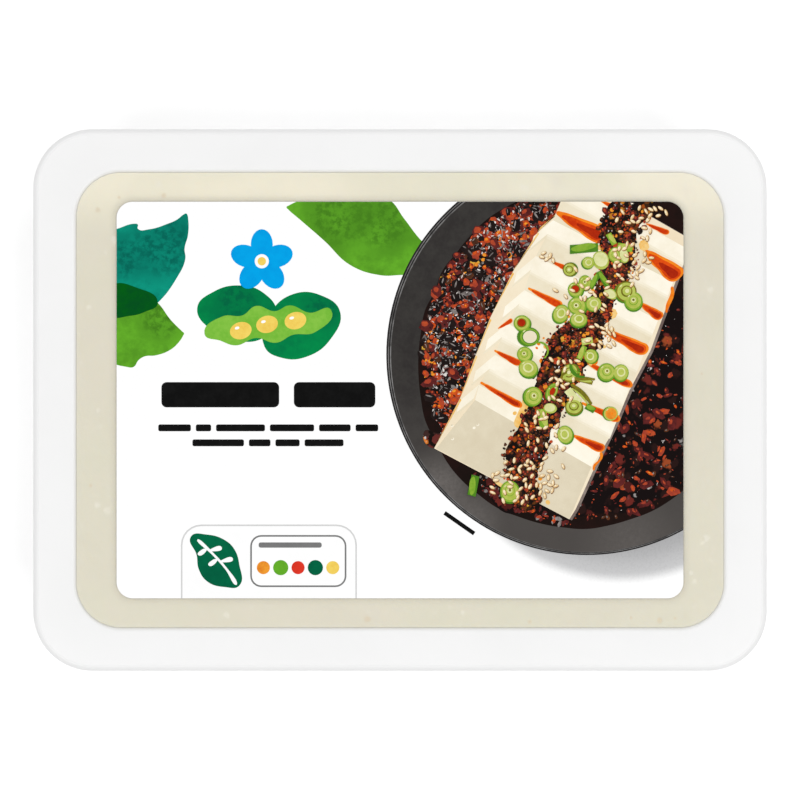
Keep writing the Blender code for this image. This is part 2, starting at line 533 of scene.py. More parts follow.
def make_tofu():
    """The curd, filled right up to the wall, with its uneven top where it shows round the label."""
    inset = wall_inset(TOFU_TOP) - 0.05 * MM
    length = PACK_LENGTH - 2 * inset
    width = PACK_WIDTH - 2 * inset
    corner = MOUTH_CORNER + 0.1 * MM
    tofu = rounded_sheet("tofu_curd_block", length, width, corner, TOFU_TOP, 1.2 * MM)
    bpy.ops.mesh.select_all(action="DESELECT")
    shape = bmesh.from_edit_mesh(tofu.data)
    for face in shape.faces:
        if in_ring_about_label(face.calc_center_median(), 2.4 * MM, 20 * MM):
            face.select_set(True)
    bpy.ops.mesh.subdivide(number_cuts=3)
    bpy.ops.mesh.select_all(action="SELECT")
    bpy.ops.object.vertex_group_assign_new()
    tofu.vertex_groups[-1].name = "surface"
    bpy.ops.mesh.region_to_loop()
    for out, down in ((0.0, 0.25), (0.0, 2.0)):
        bpy.ops.mesh.extrude_edges_move(TRANSFORM_OT_translate={"value": (0, 0, -down * MM)})
    depth = TOFU_TOP - SHEET - HEEL_RADIUS
    foot = 1 - 2 * depth * math.tan(WALL_DRAFT) / length, 1 - 2 * depth * math.tan(WALL_DRAFT) / width
    bpy.ops.mesh.extrude_edges_move(TRANSFORM_OT_translate={"value": (0, 0, -depth + 2.25 * MM)})
    bpy.ops.transform.resize(value=(*foot, 1), center_override=(0, 0, 0))
    bpy.ops.mesh.extrude_edges_move(TRANSFORM_OT_translate={"value": (0, 0, -HEEL_RADIUS * 0.7)})
    bpy.ops.transform.resize(value=(0.965, 0.955, 1), center_override=(0, 0, 0))
    bpy.ops.mesh.edge_face_add()
    bpy.ops.mesh.select_all(action="SELECT")
    bpy.ops.mesh.normals_make_consistent(inside=False)
    bpy.ops.object.mode_set(mode="OBJECT")
    displace(tofu, cloud("slow_swell", 9 * MM), 0.18 * MM, "surface")
    displace(tofu, cloud("curd_grain", 1.3 * MM, 3), 0.05 * MM, "surface")
    apply_modifiers(tofu)
    smooth(tofu, math.radians(60.0))
    return finish_piece(tofu, tofu_curd(), "tofu_block")


def make_film():
    """The lid film: flat on the rim and under the label, faintly rippled between them."""
    film = rounded_sheet(
        "lid_film_sheet", FILM_LENGTH, FILM_WIDTH, RIM_CORNER - FILM_INSET, FILM_BOTTOM, 1.3 * MM
    )
    bpy.ops.mesh.select_all(action="DESELECT")
    shape = bmesh.from_edit_mesh(film.data)
    for corner in shape.verts:
        corner.select_set(in_ring_about_label(corner.co, -1.5 * MM, 5.5 * MM))
    shape.select_flush_mode()
    bpy.ops.object.vertex_group_assign_new()
    film.vertex_groups[-1].name = "ripples"
    bpy.ops.object.mode_set(mode="OBJECT")
    displace(film, cloud("film_ripple", 7 * MM, 1), 0.12 * MM, "ripples")
    wall = film.modifiers.new("thickness", "SOLIDIFY")
    wall.thickness = FILM_THICKNESS
    wall.offset = 1
    apply_modifiers(film)
    smooth(film)
    return finish_piece(film, lid_film_clear(), "lid_film")


SHADOW = Vector((42.1 * MM, 1.5 * MM, 0))


def label_paper():
    """White label stock with a satin coat, and the soft grey shadow printed under the dish."""
    material, tree, shader = new_material("white_label_stock")
    place = object_place(tree)
    tooth = noise(tree, place, 1800.0, 3.0)
    away = distance_from(tree, place, SHADOW)
    grey = blend(tree, remap(tree, away, 29 * MM, 35 * MM), (0.36, 0.36, 0.365), (0.52, 0.52, 0.525))
    colour = blend(tree, remap(tree, away, 34.2 * MM, 36.9 * MM), grey, (0.955, 0.955, 0.955))
    tree.links.new(colour, shader.inputs["Base Color"])
    tree.links.new(remap(tree, tooth, 0.3, 0.7, 0.24, 0.34), shader.inputs["Roughness"])
    bump(tree, shader, tooth, 0.004 * MM, 0.5)
    return material


def make_label():
    """The label, a stiff sheet with a softened edge."""
    edge = 0.03 * MM
    rings = []
    for inset, height in ((0, LABEL_BOTTOM), (0, LABEL_TOP - edge), (edge, LABEL_TOP)):
        rings.append((LABEL_LENGTH - 2 * inset, LABEL_WIDTH - 2 * inset, LABEL_CORNER - inset, height))
    label = loft("label_sheet", rings)
    smooth(label)
    return finish_piece(label, label_paper(), "label")


# ---------------------------------------------------------------- printing

# Each ink builds up in thin closed layers that stand on the label; a higher level covers a lower one.
LEVEL = 0.012 * MM
INK_ROOT = 0.01 * MM
LEAF_LEVEL = 1
DISH_LEVEL = 3
SAUCE_LEVEL = 7
CRUMB_LEVELS = (8.5, 14)
BLOCK_LEVEL = 16
FACE_LEVEL = 18
OIL_LEVEL = 20
PILE_LEVEL = 23
PILE_LEVELS = (24, 31)
ONION_LEVEL = 32
SEED_LEVELS = (37, 41)

# Fields that share a level still differ by a hair, so that no two tops lie in one plane.
HAIR = 0.0011 * MM
HAIRS = 9
TRIM = 0.02 * MM

LAYERS = {}
DRAW = random.Random(7)


def height_at(level):
    """The height at which this print level lies."""
    return LABEL_TOP + level * LEVEL


def keep_layer(ink, piece):
    LAYERS.setdefault(ink, []).append(piece)


def past_label(x, y):
    """Millimetres by which a point lies outside the label's outline; less than 0 inside it."""
    over_x = abs(x) - (LABEL_LENGTH / 2 - LABEL_CORNER) / MM
    over_y = abs(y) - (LABEL_WIDTH / 2 - LABEL_CORNER) / MM
    return math.hypot(max(over_x, 0), max(over_y, 0)) - LABEL_CORNER / MM


def trim_to_label(piece):
    """Cuts a flat shape that runs past the label's edge."""
    if all(past_label(corner.co.x / MM, corner.co.y / MM) < -TRIM / MM for corner in piece.data.vertices):
        return
    choose(piece)
    bpy.ops.object.mode_set(mode="EDIT")
    cut_to_outline(LABEL_LENGTH - 2 * TRIM, LABEL_WIDTH - 2 * TRIM, LABEL_CORNER - TRIM, fill=False)
    bpy.ops.object.mode_set(mode="OBJECT")


def thicken(piece, level):
    """Turns the flat shape at height 0 into a closed layer from inside the label up to its level."""
    trim_to_label(piece)
    choose(piece)
    hair = sum(len(pieces) for pieces in LAYERS.values()) % HAIRS * HAIR
    top = height_at(level) + hair
    bottom = LABEL_TOP - INK_ROOT - hair
    bpy.ops.object.mode_set(mode="EDIT")
    bpy.ops.mesh.select_all(action="SELECT")
    bpy.ops.transform.translate(value=(0, 0, bottom))
    bpy.ops.mesh.extrude_region_move(TRANSFORM_OT_translate={"value": (0, 0, top - bottom)})
    bpy.ops.mesh.select_all(action="SELECT")
    bpy.ops.mesh.normals_make_consistent(inside=False)
    bpy.ops.object.mode_set(mode="OBJECT")


def ink_shape(ink, outline, level, corners="AUTO"):
    """A field of ink with this outline, (x, y) in millimetres, round or VECTOR at its corners."""
    deselect()
    bpy.ops.curve.primitive_bezier_circle_add(radius=MM)
    curve = bpy.context.active_object
    curve.data.dimensions = "2D"
    curve.data.fill_mode = "BOTH"
    curve.data.resolution_u = 8 if corners == "AUTO" else 1
    line = curve.data.splines[0]
    line.bezier_points.add(max(0, len(outline) - len(line.bezier_points)))
    for point, (x, y) in zip(line.bezier_points, outline):
        point.co = (x * MM, y * MM, 0)
        point.handle_left_type = corners
        point.handle_right_type = corners
    bpy.ops.object.convert(target="MESH")
    piece = named(f"{ink}_field")
    place_in_mesh(piece)
    bpy.ops.object.mode_set(mode="EDIT")
    bpy.ops.mesh.select_all(action="SELECT")
    bpy.ops.mesh.remove_doubles(threshold=0.001 * MM)
    bpy.ops.object.mode_set(mode="OBJECT")
    thicken(piece, level)
    keep_layer(ink, piece)


def ink_disc(ink, x, y, radius, level, stretch=1.0, turn=0.0, sides=24):
    """A round or oval field of ink, in millimetres and degrees."""
    deselect()
    bpy.ops.mesh.primitive_circle_add(vertices=sides, radius=radius * MM, fill_type="NGON")
    piece = named(f"{ink}_disc")
    piece.scale = (1, stretch, 1)
    piece.rotation_euler = (0, 0, math.radians(turn))
    piece.location = (x * MM, y * MM, 0)
    place_in_mesh(piece)
    thicken(piece, level)
    keep_layer(ink, piece)


def ink_bar(ink, left, right, bottom, top, radius, level):
    """A bar of ink with rounded ends."""
    deselect()
    bpy.ops.mesh.primitive_plane_add(size=1)
    piece = named(f"{ink}_bar")
    piece.scale = ((right - left) * MM, (top - bottom) * MM, 1)
    piece.location = ((left + right) / 2 * MM, (bottom + top) / 2 * MM, 0)
    place_in_mesh(piece)
    bpy.ops.object.mode_set(mode="EDIT")
    bpy.ops.mesh.select_all(action="SELECT")
    bpy.ops.mesh.bevel(offset=radius * MM, segments=6, affect="VERTICES")
    bpy.ops.object.mode_set(mode="OBJECT")
    thicken(piece, level)
    keep_layer(ink, piece)


def crumb(sides, roughness, seed):
    """One ragged flat crumb, 1 across and 1 high, from which all crumbs of its kind are copied."""
    deselect()
    bpy.ops.mesh.primitive_circle_add(vertices=sides, radius=0.5, fill_type="NGON")
    piece = named("crumb_model")
    bpy.ops.object.mode_set(mode="EDIT")
    bpy.ops.mesh.select_all(action="SELECT")
    bpy.ops.transform.vertex_random(offset=roughness, uniform=0.0, normal=0.0, seed=seed)
    bpy.ops.transform.resize(value=(1, 1, 0), center_override=(0, 0, 0))
    bpy.ops.mesh.extrude_region_move(TRANSFORM_OT_translate={"value": (0, 0, 1)})
    bpy.ops.mesh.select_all(action="SELECT")
    bpy.ops.mesh.normals_make_consistent(inside=False)
    bpy.ops.object.mode_set(mode="OBJECT")
    return piece


def strew(ink, models, places):
    """Copies the models to these places, (x, y, length, width, turn, level), as one layer of this ink."""
    bottom = LABEL_TOP - INK_ROOT
    shape = bmesh.new()
    for number, (x, y, length, width, turn, level) in enumerate(places):
        if past_label(x, y) > -0.7 * length:
            continue
        before = len(shape.verts)
        shape.from_mesh(models[number % len(models)].data)
        shape.verts.ensure_lookup_table()
        size = Matrix.Diagonal((length * MM, width * MM, height_at(level) - bottom, 1))
        place = Matrix.Translation((x * MM, y * MM, bottom)) @ Matrix.Rotation(turn, 4, "Z") @ size
        for corner in shape.verts[before:]:
            corner.co = place @ corner.co
    mesh = bpy.data.meshes.new(f"{ink}_crumbs")
    shape.to_mesh(mesh)
    shape.free()
    piece = bpy.data.objects.new(mesh.name, mesh)
    bpy.context.scene.collection.objects.link(piece)
    keep_layer(ink, piece)


def join_layers():
    """Joins each ink's fields into one piece and gives it its finish."""
    for ink, pieces in LAYERS.items():
        deselect()
        for piece in pieces:
            piece.select_set(True)
        bpy.context.view_layer.objects.active = pieces[0]
        if len(pieces) > 1:
            bpy.ops.object.join()
        layer = named(f"ink_{ink}")
        finish_piece(layer, ink_finish(ink, *INKS[ink]))


# Every ink: its colour, the colour that clouds it, and how many clouds there are to a metre.
INKS = {
    "teal_leaf": ((0.003, 0.300, 0.205), (0.0005, 0.125, 0.090), 420),
    "deep_green_leaf": ((0.0, 0.100, 0.006), (0.0, 0.070, 0.012), 420),
    "green_leaf": ((0.125, 0.410, 0.022), (0.055, 0.200, 0.011), 380),
    "dish_grey": ((0.042, 0.039, 0.036), (0.030, 0.027, 0.026), 700),
    "dish_edge": ((0.014, 0.013, 0.013), (0.024, 0.023, 0.023), 700),
    "dish_shine": ((0.230, 0.225, 0.222), (0.075, 0.072, 0.071), 500),
    "sauce_black": ((0.009, 0.005, 0.004), (0.016, 0.006, 0.005), 300),
    "sauce_mix": ((0.009, 0.005, 0.004), (0.016, 0.006, 0.005), 300),
    "sauce_thin": ((0.009, 0.005, 0.004), (0.016, 0.006, 0.005), 300),
    "pile_mix": ((0.009, 0.005, 0.004), (0.016, 0.006, 0.005), 300),
    "char_black": ((0.008, 0.005, 0.005), (0.020, 0.012, 0.011), 900),
    "chilli_brown": ((0.050, 0.018, 0.010), (0.120, 0.038, 0.014), 1500),
    "chilli_dark": ((0.135, 0.021, 0.019), (0.060, 0.010, 0.010), 1500),
    "chilli_red": ((0.300, 0.040, 0.024), (0.480, 0.075, 0.022), 1800),
    "chilli_orange": ((0.640, 0.100, 0.013), (0.420, 0.036, 0.009), 1800),
    "pepper_amber": ((0.840, 0.330, 0.030), (0.700, 0.200, 0.018), 1500),
    "wet_glint": ((0.860, 0.830, 0.800), (0.420, 0.370, 0.340), 2500),
    "wet_line": ((0.300, 0.270, 0.255), (0.090, 0.074, 0.070), 900),
    "curd_edge": ((0.140, 0.098, 0.085), (0.290, 0.240, 0.210), 500),
    "curd_side": ((0.870, 0.765, 0.575), (0.820, 0.690, 0.490), 160),
    "curd_shade": ((0.820, 0.745, 0.570), (0.760, 0.670, 0.480), 180),
    "curd_half": ((0.860, 0.790, 0.625), (0.800, 0.720, 0.540), 180),
    "curd_soft": ((0.915, 0.850, 0.700), (0.850, 0.780, 0.610), 180),
    "curd_lit": ((0.960, 0.905, 0.770), (0.880, 0.810, 0.650), 200),
    "curd_end": ((0.665, 0.585, 0.425), (0.735, 0.660, 0.495), 150),
    "oil_stain": ((0.820, 0.420, 0.060), (0.860, 0.620, 0.260), 900),
    "oil_orange": ((0.880, 0.260, 0.016), (0.780, 0.150, 0.007), 900),
    "oil_red": ((0.740, 0.080, 0.005), (0.520, 0.030, 0.003), 900),
    "oil_dark": ((0.330, 0.014, 0.003), (0.440, 0.026, 0.003), 1200),
    "onion_dark": ((0.061, 0.190, 0.014), (0.085, 0.240, 0.016), 900),
    "onion_green": ((0.160, 0.340, 0.022), (0.260, 0.420, 0.040), 1000),
    "onion_pale": ((0.480, 0.540, 0.115), (0.370, 0.450, 0.060), 1200),
    "onion_white": ((0.740, 0.740, 0.400), (0.620, 0.640, 0.270), 1500),
    "onion_olive": ((0.230, 0.190, 0.016), (0.120, 0.120, 0.010), 1200),
    "seed_shade": ((0.300, 0.140, 0.045), (0.200, 0.080, 0.025), 1800),
    "sesame": ((0.880, 0.720, 0.450), (0.740, 0.500, 0.230), 2200),
    "seed_shine": ((0.960, 0.880, 0.720), (0.930, 0.820, 0.600), 2200),
    "word_black": ((0.004, 0.004, 0.004), (0.007, 0.007, 0.007), 900),
    "line_grey": ((0.640, 0.640, 0.640), (0.600, 0.600, 0.600), 900),
    "frame_grey": ((0.190, 0.190, 0.190), (0.170, 0.170, 0.170), 900),
    "badge_green": ((0.0, 0.130, 0.055), (0.0, 0.100, 0.045), 500),
    "sprig_green": ((0.0, 0.235, 0.062), (0.0, 0.125, 0.050), 420),
    "pod_green": ((0.150, 0.440, 0.035), (0.230, 0.520, 0.060), 600),
    "bean_yellow": ((0.870, 0.650, 0.130), (0.800, 0.520, 0.080), 700),
    "blossom_blue": ((0.0, 0.290, 0.700), (0.0, 0.360, 0.780), 420),
    "berry_red": ((0.720, 0.040, 0.020), (0.620, 0.030, 0.015), 700),
    "plain_white": ((0.950, 0.950, 0.950), (0.930, 0.930, 0.930), 500),
}


# Sauces printed as a mosaic of lumps: lumps a metre, share of glints, and (from this share on, colour) stops.
MOSAICS = {
    "sauce_mix": (600, 0.86, (
        (0.0, (0.008, 0.005, 0.004)), (0.40, (0.045, 0.020, 0.017)), (0.52, (0.125, 0.024, 0.020)),
        (0.64, (0.260, 0.028, 0.014)), (0.77, (0.070, 0.034, 0.027)), (0.82, (0.460, 0.070, 0.016)),
        (0.92, (0.650, 0.190, 0.026)), (0.98, (0.700, 0.390, 0.050)),
    )),
    "sauce_thin": (560, 0.975, (
        (0.0, (0.007, 0.004, 0.004)), (0.62, (0.020, 0.008, 0.007)), (0.76, (0.070, 0.012, 0.010)),
        (0.86, (0.140, 0.020, 0.015)), (0.96, (0.300, 0.060, 0.018)),
    )),
    "pile_mix": (980, 0.95, (
        (0.0, (0.008, 0.005, 0.004)), (0.32, (0.040, 0.016, 0.006)), (0.48, (0.120, 0.036, 0.008)),
        (0.64, (0.200, 0.030, 0.008)), (0.76, (0.330, 0.070, 0.008)), (0.88, (0.500, 0.180, 0.016)),
        (0.95, (0.680, 0.360, 0.040)),
    )),
}


def mosaic(tree, place, cells, glints, stops):
    """Ragged lumps of random colours with dark gaps between them, and small glints in patches."""
    warp = add(tree, "ShaderNodeTexNoise", Scale=cells * 1.6, Detail=2.0)
    tree.links.new(place, warp.inputs["Vector"])
    ragged = add(tree, "ShaderNodeVectorMath", operation="MULTIPLY_ADD")
    tree.links.new(warp.outputs["Color"], ragged.inputs[0])
    ragged.inputs[1].default_value = (0.9 / cells, 0.9 / cells, 0.9 / cells)
    tree.links.new(place, ragged.inputs[2])
    lumps = add(tree, "ShaderNodeTexVoronoi", Scale=cells)
    tree.links.new(ragged.outputs["Vector"], lumps.inputs["Vector"])
    kinds = add(tree, "ShaderNodeSeparateColor")
    tree.links.new(lumps.outputs["Color"], kinds.inputs[0])
    ramp = add(tree, "ShaderNodeValToRGB")
    ramp.color_ramp.interpolation = "CONSTANT"
    marks = ramp.color_ramp.elements
    marks[1].position = 1.0
    for share, tint in stops[1:]:
        marks.new(share).color = (*tint, 1.0)
    marks[0].color = (*stops[0][1], 1.0)
    marks[-1].color = (*stops[-1][1], 1.0)
    tree.links.new(kinds.outputs[0], ramp.inputs[0])
    gap = remap(tree, lumps.outputs["Distance"], 0.42, 0.72)
    colour = blend(tree, gap, ramp.outputs["Color"], stops[0][1])
    shine = add(tree, "ShaderNodeTexVoronoi", Scale=cells * 2.6)
    tree.links.new(ragged.outputs["Vector"], shine.inputs["Vector"])
    parts = add(tree, "ShaderNodeSeparateColor")
    tree.links.new(shine.outputs["Color"], parts.inputs[0])
    chosen = remap(tree, parts.outputs[1], glints, glints + 0.01)
    round_it = remap(tree, shine.outputs["Distance"], 0.55, 0.25)
    patches = remap(tree, noise(tree, place, 170.0, 2.0), 0.40, 0.52, 0.45, 1.0)
    share = sum_of(tree, "MULTIPLY", sum_of(tree, "MULTIPLY", chosen, round_it), patches)
    return blend(tree, share, colour, (0.560, 0.520, 0.500))


# Where the painted leaves are darker and speckled: x, y and reach in millimetres.
LEAF_SHADES = {
    "teal_leaf": ((-45.0, 29.5, 9.0), (-53.0, 27.0, 6.0)),
    "green_leaf": ((-45.5, 15.5, 6.0), (-12.0, 35.0, 9.0), (-3.0, 34.0, 8.0)),
    "sprig_green": ((-31.0, 19.0, 6.0), (-15.0, 17.0, 5.0)),
}


def ink_finish(ink, colour, cloud_colour, clouds):
    """Printed ink: its colour, clouded at two sizes, with a dull sheen."""
    material, tree, shader = new_material(f"{ink}_ink")
    place = object_place(tree)
    wide = noise(tree, place, clouds * 0.4, 2.0)
    narrow = noise(tree, place, clouds * 2.0, 5.0, 0.7)
    total = sum_of(tree, "ADD", sum_of(tree, "MULTIPLY", wide, 0.55), sum_of(tree, "MULTIPLY", narrow, 0.45))
    cloud_share = 0.6 if ink in LEAF_SHADES else 1.0
    cloudy = blend(tree, remap(tree, total, 0.36, 0.66, 0.0, cloud_share), colour, cloud_colour)
    if ink == "dish_grey":
        cloudy = dish_bloom(tree, place, narrow, cloudy)
    for x, y, radius in LEAF_SHADES.get(ink, ()):
        away = distance_from(tree, place, (x * MM, y * MM))
        near = remap(tree, away, radius * MM, 0.35 * radius * MM)
        speckle = remap(tree, narrow, 0.62, 0.38, 0.25, 1.0)
        cloudy = blend(tree, sum_of(tree, "MULTIPLY", near, speckle), cloudy, cloud_colour)
    if ink in MOSAICS:
        cloudy = mosaic(tree, place, *MOSAICS[ink])
    tree.links.new(cloudy, shader.inputs["Base Color"])
    shader.inputs["Roughness"].default_value = 0.45
    shader.inputs["Specular IOR Level"].default_value = 0.02
    return material


def dish_bloom(tree, place, grain, colour):
    """The paler, streaky lower part of the dish's rim and the soft light on its lower left."""
    parts = add(tree, "ShaderNodeSeparateXYZ")
    tree.links.new(place, parts.inputs[0])
    low = remap(tree, parts.outputs["Y"], 8 * MM, -24 * MM, 0.0, 0.75)
    colour = blend(tree, low, colour, (0.082, 0.074, 0.069))
    for centre, radius, share in (((7, -17), 9, 0.8), ((14, -23), 7, 0.5), ((44, -28), 12, 0.35)):
        away = distance_from(tree, place, (centre[0] * MM, centre[1] * MM))
        near = remap(tree, away, radius * MM, 0.0, 0.0, share)
        colour = blend(tree, sum_of(tree, "MULTIPLY", near, grain), colour, (0.230, 0.210, 0.198))
    return colour


# ---------------------------------------------------------------- the printed picture

def print_leaves():
    """Watercolour leaves that run off the label's left and top edges."""
    ink_shape("teal_leaf", (
        (-55, 32.3), (-53.8, 32.6), (-50.6, 33.55), (-49.9, 33.4), (-49.9, 32.6), (-47.7, 32.5),
        (-44.2, 33.55),
        (-42.5, 34.3), (-41.1, 35.35), (-40.7, 35.5), (-40.5, 35.3), (-40.3, 34.4), (-40.35, 31.4),
        (-41, 28.8), (-40.85, 26.9),
        (-42.5, 23.2), (-46.1, 18.5), (-48.6, 16.75), (-51.5, 16), (-55, 16.1),
    ), LEAF_LEVEL)
    ink_shape("green_leaf", (
        (-55, 21.6), (-49.9, 21.3), (-46.1, 18.5), (-43.6, 15.2), (-41.4, 13.0), (-41.1, 12.7),
        (-41.25, 12.3), (-42.1, 11), (-43.8, 9.5),
        (-46.5, 8.5), (-48.6, 8.3), (-49.75, 7.6), (-50.7, 6.3), (-52, 6.3), (-55, 7.6),
    ), LEAF_LEVEL + 1)
    ink_shape("deep_green_leaf", (
        (-55, 21.6), (-49.9, 21.3), (-46.1, 18.5), (-48.6, 16.75), (-51.5, 16), (-55, 16.1),
    ), LEAF_LEVEL + 2)
    ink_shape("green_leaf", (
        (-21.6, 36.7), (-21.2, 37.0), (-18.3, 38.2), (-10, 39.5), (-2.2, 38.2), (0.8, 34.5), (4.1, 30.3),
        (8.0, 27.0),
        (6.0, 23.9), (0.45, 23.8), (-3.75, 23.75), (-9.5, 25.7), (-14.4, 30.3), (-19, 34.3), (-21.3, 36.3),
    ), LEAF_LEVEL)


BLOSSOM_X = -26.3
BLOSSOM_Y = 26.4


def print_motif():
    """A plain soya sprig: a pod with three beans on two leaves, and a five-petalled blossom over it."""
    ink_shape("sprig_green", (
        (-38.6, 17.5), (-35.5, 20.6), (-30.5, 21.8), (-26, 20.4), (-23.4, 16.6), (-25.5, 12.2), (-31, 11.2),
        (-36, 13.4),
    ), LEAF_LEVEL)
    ink_shape("sprig_green", (
        (-25.8, 10.2), (-24.6, 16.6), (-20.2, 20.2), (-15, 19.9), (-11.4, 16.8), (-13.2, 11.6), (-17.6, 8.3),
        (-22.4, 8.0),
    ), LEAF_LEVEL + 1)
    ink_shape("pod_green", (
        (-37.2, 12.6), (-33.8, 15.9), (-30, 16.1), (-27.4, 17.9), (-23.8, 16.9), (-21, 18), (-17.2, 16.6),
        (-13.1, 17.1), (-16.2, 12.9), (-20.4, 12.4), (-23.6, 10.9), (-27.4, 11.8), (-31.2, 10.4),
        (-34.2, 11.3),
    ), LEAF_LEVEL + 2)
    for x, y in ((-30.3, 13.2), (-25.3, 14.4), (-19.9, 15.1)):
        ink_disc("bean_yellow", x, y, 2.1, LEAF_LEVEL + 3, 0.78, 15)
        ink_disc("plain_white", x - 0.7, y + 0.5, 0.45, LEAF_LEVEL + 4, 0.6, 15)
    for petal in range(5):
        turn = 90 + 72 * petal
        x = BLOSSOM_X + 3.2 * math.cos(math.radians(turn))
        y = BLOSSOM_Y + 3.2 * math.sin(math.radians(turn))
        ink_disc("blossom_blue", x, y, 2.9, LEAF_LEVEL + 3, 0.72, turn)
    ink_disc("plain_white", BLOSSOM_X, BLOSSOM_Y, 1.35, LEAF_LEVEL + 4)
    ink_disc("bean_yellow", BLOSSOM_X, BLOSSOM_Y, 0.8, LEAF_LEVEL + 5)


def print_words():
    """Plain bars where words would stand, and a small leaf badge and a dotted frame below them."""
    for left, right in ((-45.4, -23.0), (-20.2, -4.7)):
        ink_bar("word_black", left, right, -1.4, 3.4, 1.0, LEAF_LEVEL)
    lines = (
        (-46.0, -5.95, (6.2, 2.9, 9.3, 8.4, 6.0, 4.3)),
        (-39.5, -8.80, (9.8, 4.1, 4.6, 7.4)),
    )
    for left, bottom, words in lines:
        for length in words:
            ink_bar("word_black", left, left + length, bottom, bottom + 1.3, 0.35, LEAF_LEVEL)
            left += length + 0.95
    slanted_bar = ((8.25, -21.8), (8.7, -21.15), (14.35, -25.1), (13.9, -25.75))
    ink_shape("word_black", slanted_bar, LEAF_LEVEL, "VECTOR")
    for ink, inset, level in (("line_grey", 0.0, 1), ("plain_white", 0.3, 2)):
        ink_bar(ink, -41.7 + inset, -8.2 - inset, -46, -23.7 - inset, 3.9 - inset, level)
    for ink, inset, level in (("frame_grey", 0.0, 3), ("plain_white", 0.32, 4)):
        ink_bar(ink, -28.5 + inset, -10.2 - inset, -35.6 + inset, -25.7 - inset, 2.1 - inset, level)
    ink_bar("frame_grey", -26.9, -14.9, -28.1, -27.1, 0.4, 5)
    dots = ("pepper_amber", "green_leaf", "berry_red", "badge_green", "bean_yellow")
    for number, ink in enumerate(dots):
        ink_disc(ink, -26.0 + 3.3 * number, -31.9, 1.45 if number % 2 else 1.25, 5)
    ink_shape("badge_green", (
        (-39.8, -26.0), (-36.8, -25.6), (-33.1, -26.8), (-31.4, -28.6), (-30.6, -31.2), (-30.55, -35.3),
        (-33.3, -35.6), (-36.6, -34.6), (-38.3, -32.2), (-38.7, -29.5),
    ), 3)
    ink_shape("plain_white", (
        (-38.6, -26.7), (-35.7, -29.5), (-33.2, -32.3), (-31.2, -35.2), (-31.0, -34.9), (-32.9, -32.0),
        (-35.4, -29.2), (-38.4, -26.5),
    ), 5)
    for x, y, side in ((-36.4, -28.6, 1), (-34.3, -30.7, 1), (-36.9, -28.2, -1), (-34.9, -30.2, -1)):
        tip = (x + 2.0 * side + 0.5, y + 0.3 * side - 1.2 * (side < 0) + 0.2)
        ink_shape("plain_white", ((x, y), (x + 0.7 * side, y - 0.2), tip, (x + 0.2, y + 0.15)), 5)


# The dish on the label, and how far the sauces reach from its centre, in millimetres.
DISH_X = 35.5
DISH_Y = 8.6
DISH_REACH = 38.1
POOL_REACH = 32.6
LEFT_SAUCE_REACH = 31.2
RIGHT_SAUCE_REACH = 30.6
POOL_LOBE = math.radians(57)


def print_dish():
    """The dark round dish, its thin bright edge, and the black sauce in it."""
    x, y = DISH_X, DISH_Y
    rings = (
        ("dish_edge", 0.0, 0.0, DISH_REACH),
        ("dish_shine", 0.03, -0.03, 37.82),
        ("dish_edge", 0.05, -0.05, 37.68),
        ("dish_shine", 0.10, -0.10, 37.50),
        ("dish_grey", 0.18, -0.16, 37.38),
    )
    for number, (ink, right, up, radius) in enumerate(rings):
        ink_disc(ink, x + right, y + up, radius, DISH_LEVEL + number * 0.5, sides=180)
    pool = []
    for step in range(48):
        turn = math.tau * step / 48
        radius = POOL_REACH + 1.1 * math.cos(2 * (turn - POOL_LOBE)) + DRAW.uniform(-0.25, 0.25)
        pool.append((x + radius * math.cos(turn), y + radius * math.sin(turn)))
    ink_shape("sauce_black", pool, SAUCE_LEVEL)
    crescent = [(38, 41), (6.5, -9.2), (4.6, -6.0)]
    for step in range(30):
        turn = math.radians(208 - 88 * step / 29)
        radius = LEFT_SAUCE_REACH + DRAW.uniform(-0.5, 0.4)
        crescent.append((x + radius * math.cos(turn), y + radius * math.sin(turn)))
    ink_shape("sauce_mix", crescent, SAUCE_LEVEL + 0.7)
    crescent = [(33, 20), (16.5, -16.5), (22.0, -21.6)]
    for step in range(30):
        turn = math.radians(246 + 122 * step / 29)
        radius = RIGHT_SAUCE_REACH + DRAW.uniform(-0.5, 0.5)
        crescent.append((x + radius * math.cos(turn), y + radius * math.sin(turn)))
    ink_shape("sauce_thin", crescent, SAUCE_LEVEL + 0.7)


# The printed block of tofu: the upper left and upper right corner of each slice.
SLICE_LEFT = ((32.0, 41.4), (29.1, 34.2), (25.9, 27.4), (23.7, 20.9), (20.4, 14.6), (18.1, 8.6), (15.0, 2.9))
SLICE_RIGHT = ((55.0, 28.6), (52.0, 22.5), (49.1, 15.2), (46.3, 8.5), (43.6, 2.1), (41.2, -4.0), (38.2, -9.8))
LIT_BAND = (-1.0, -2.6)
LEFT_CONTOUR = ((35, 41.5), (32, 37.75), (26.2, 31.9), (21.4, 24.3), (17.1, 15.5), (14.4, 8.5),
                (11.4, 0.3), (6.5, -9.2))
RIGHT_CONTOUR = ((32.2, -22.7), (33.4, -20.8), (38.3, -10), (41.2, -4.1), (43.6, 1.7), (47.7, 9.5),
                 (52.2, 21.9), (53.9, 26.7),
                 (55.2, 30.6), (48.2, 34.6), (42, 37.9), (40, 41))


def shifted(points, right, up):
    """The points moved right and up."""
    return [(x + right, y + up) for x, y in points]


BLOCK_END = ((14.3, 0.0), (36.4, -12.7), (32.2, -22.7), (6.9, -9.2))


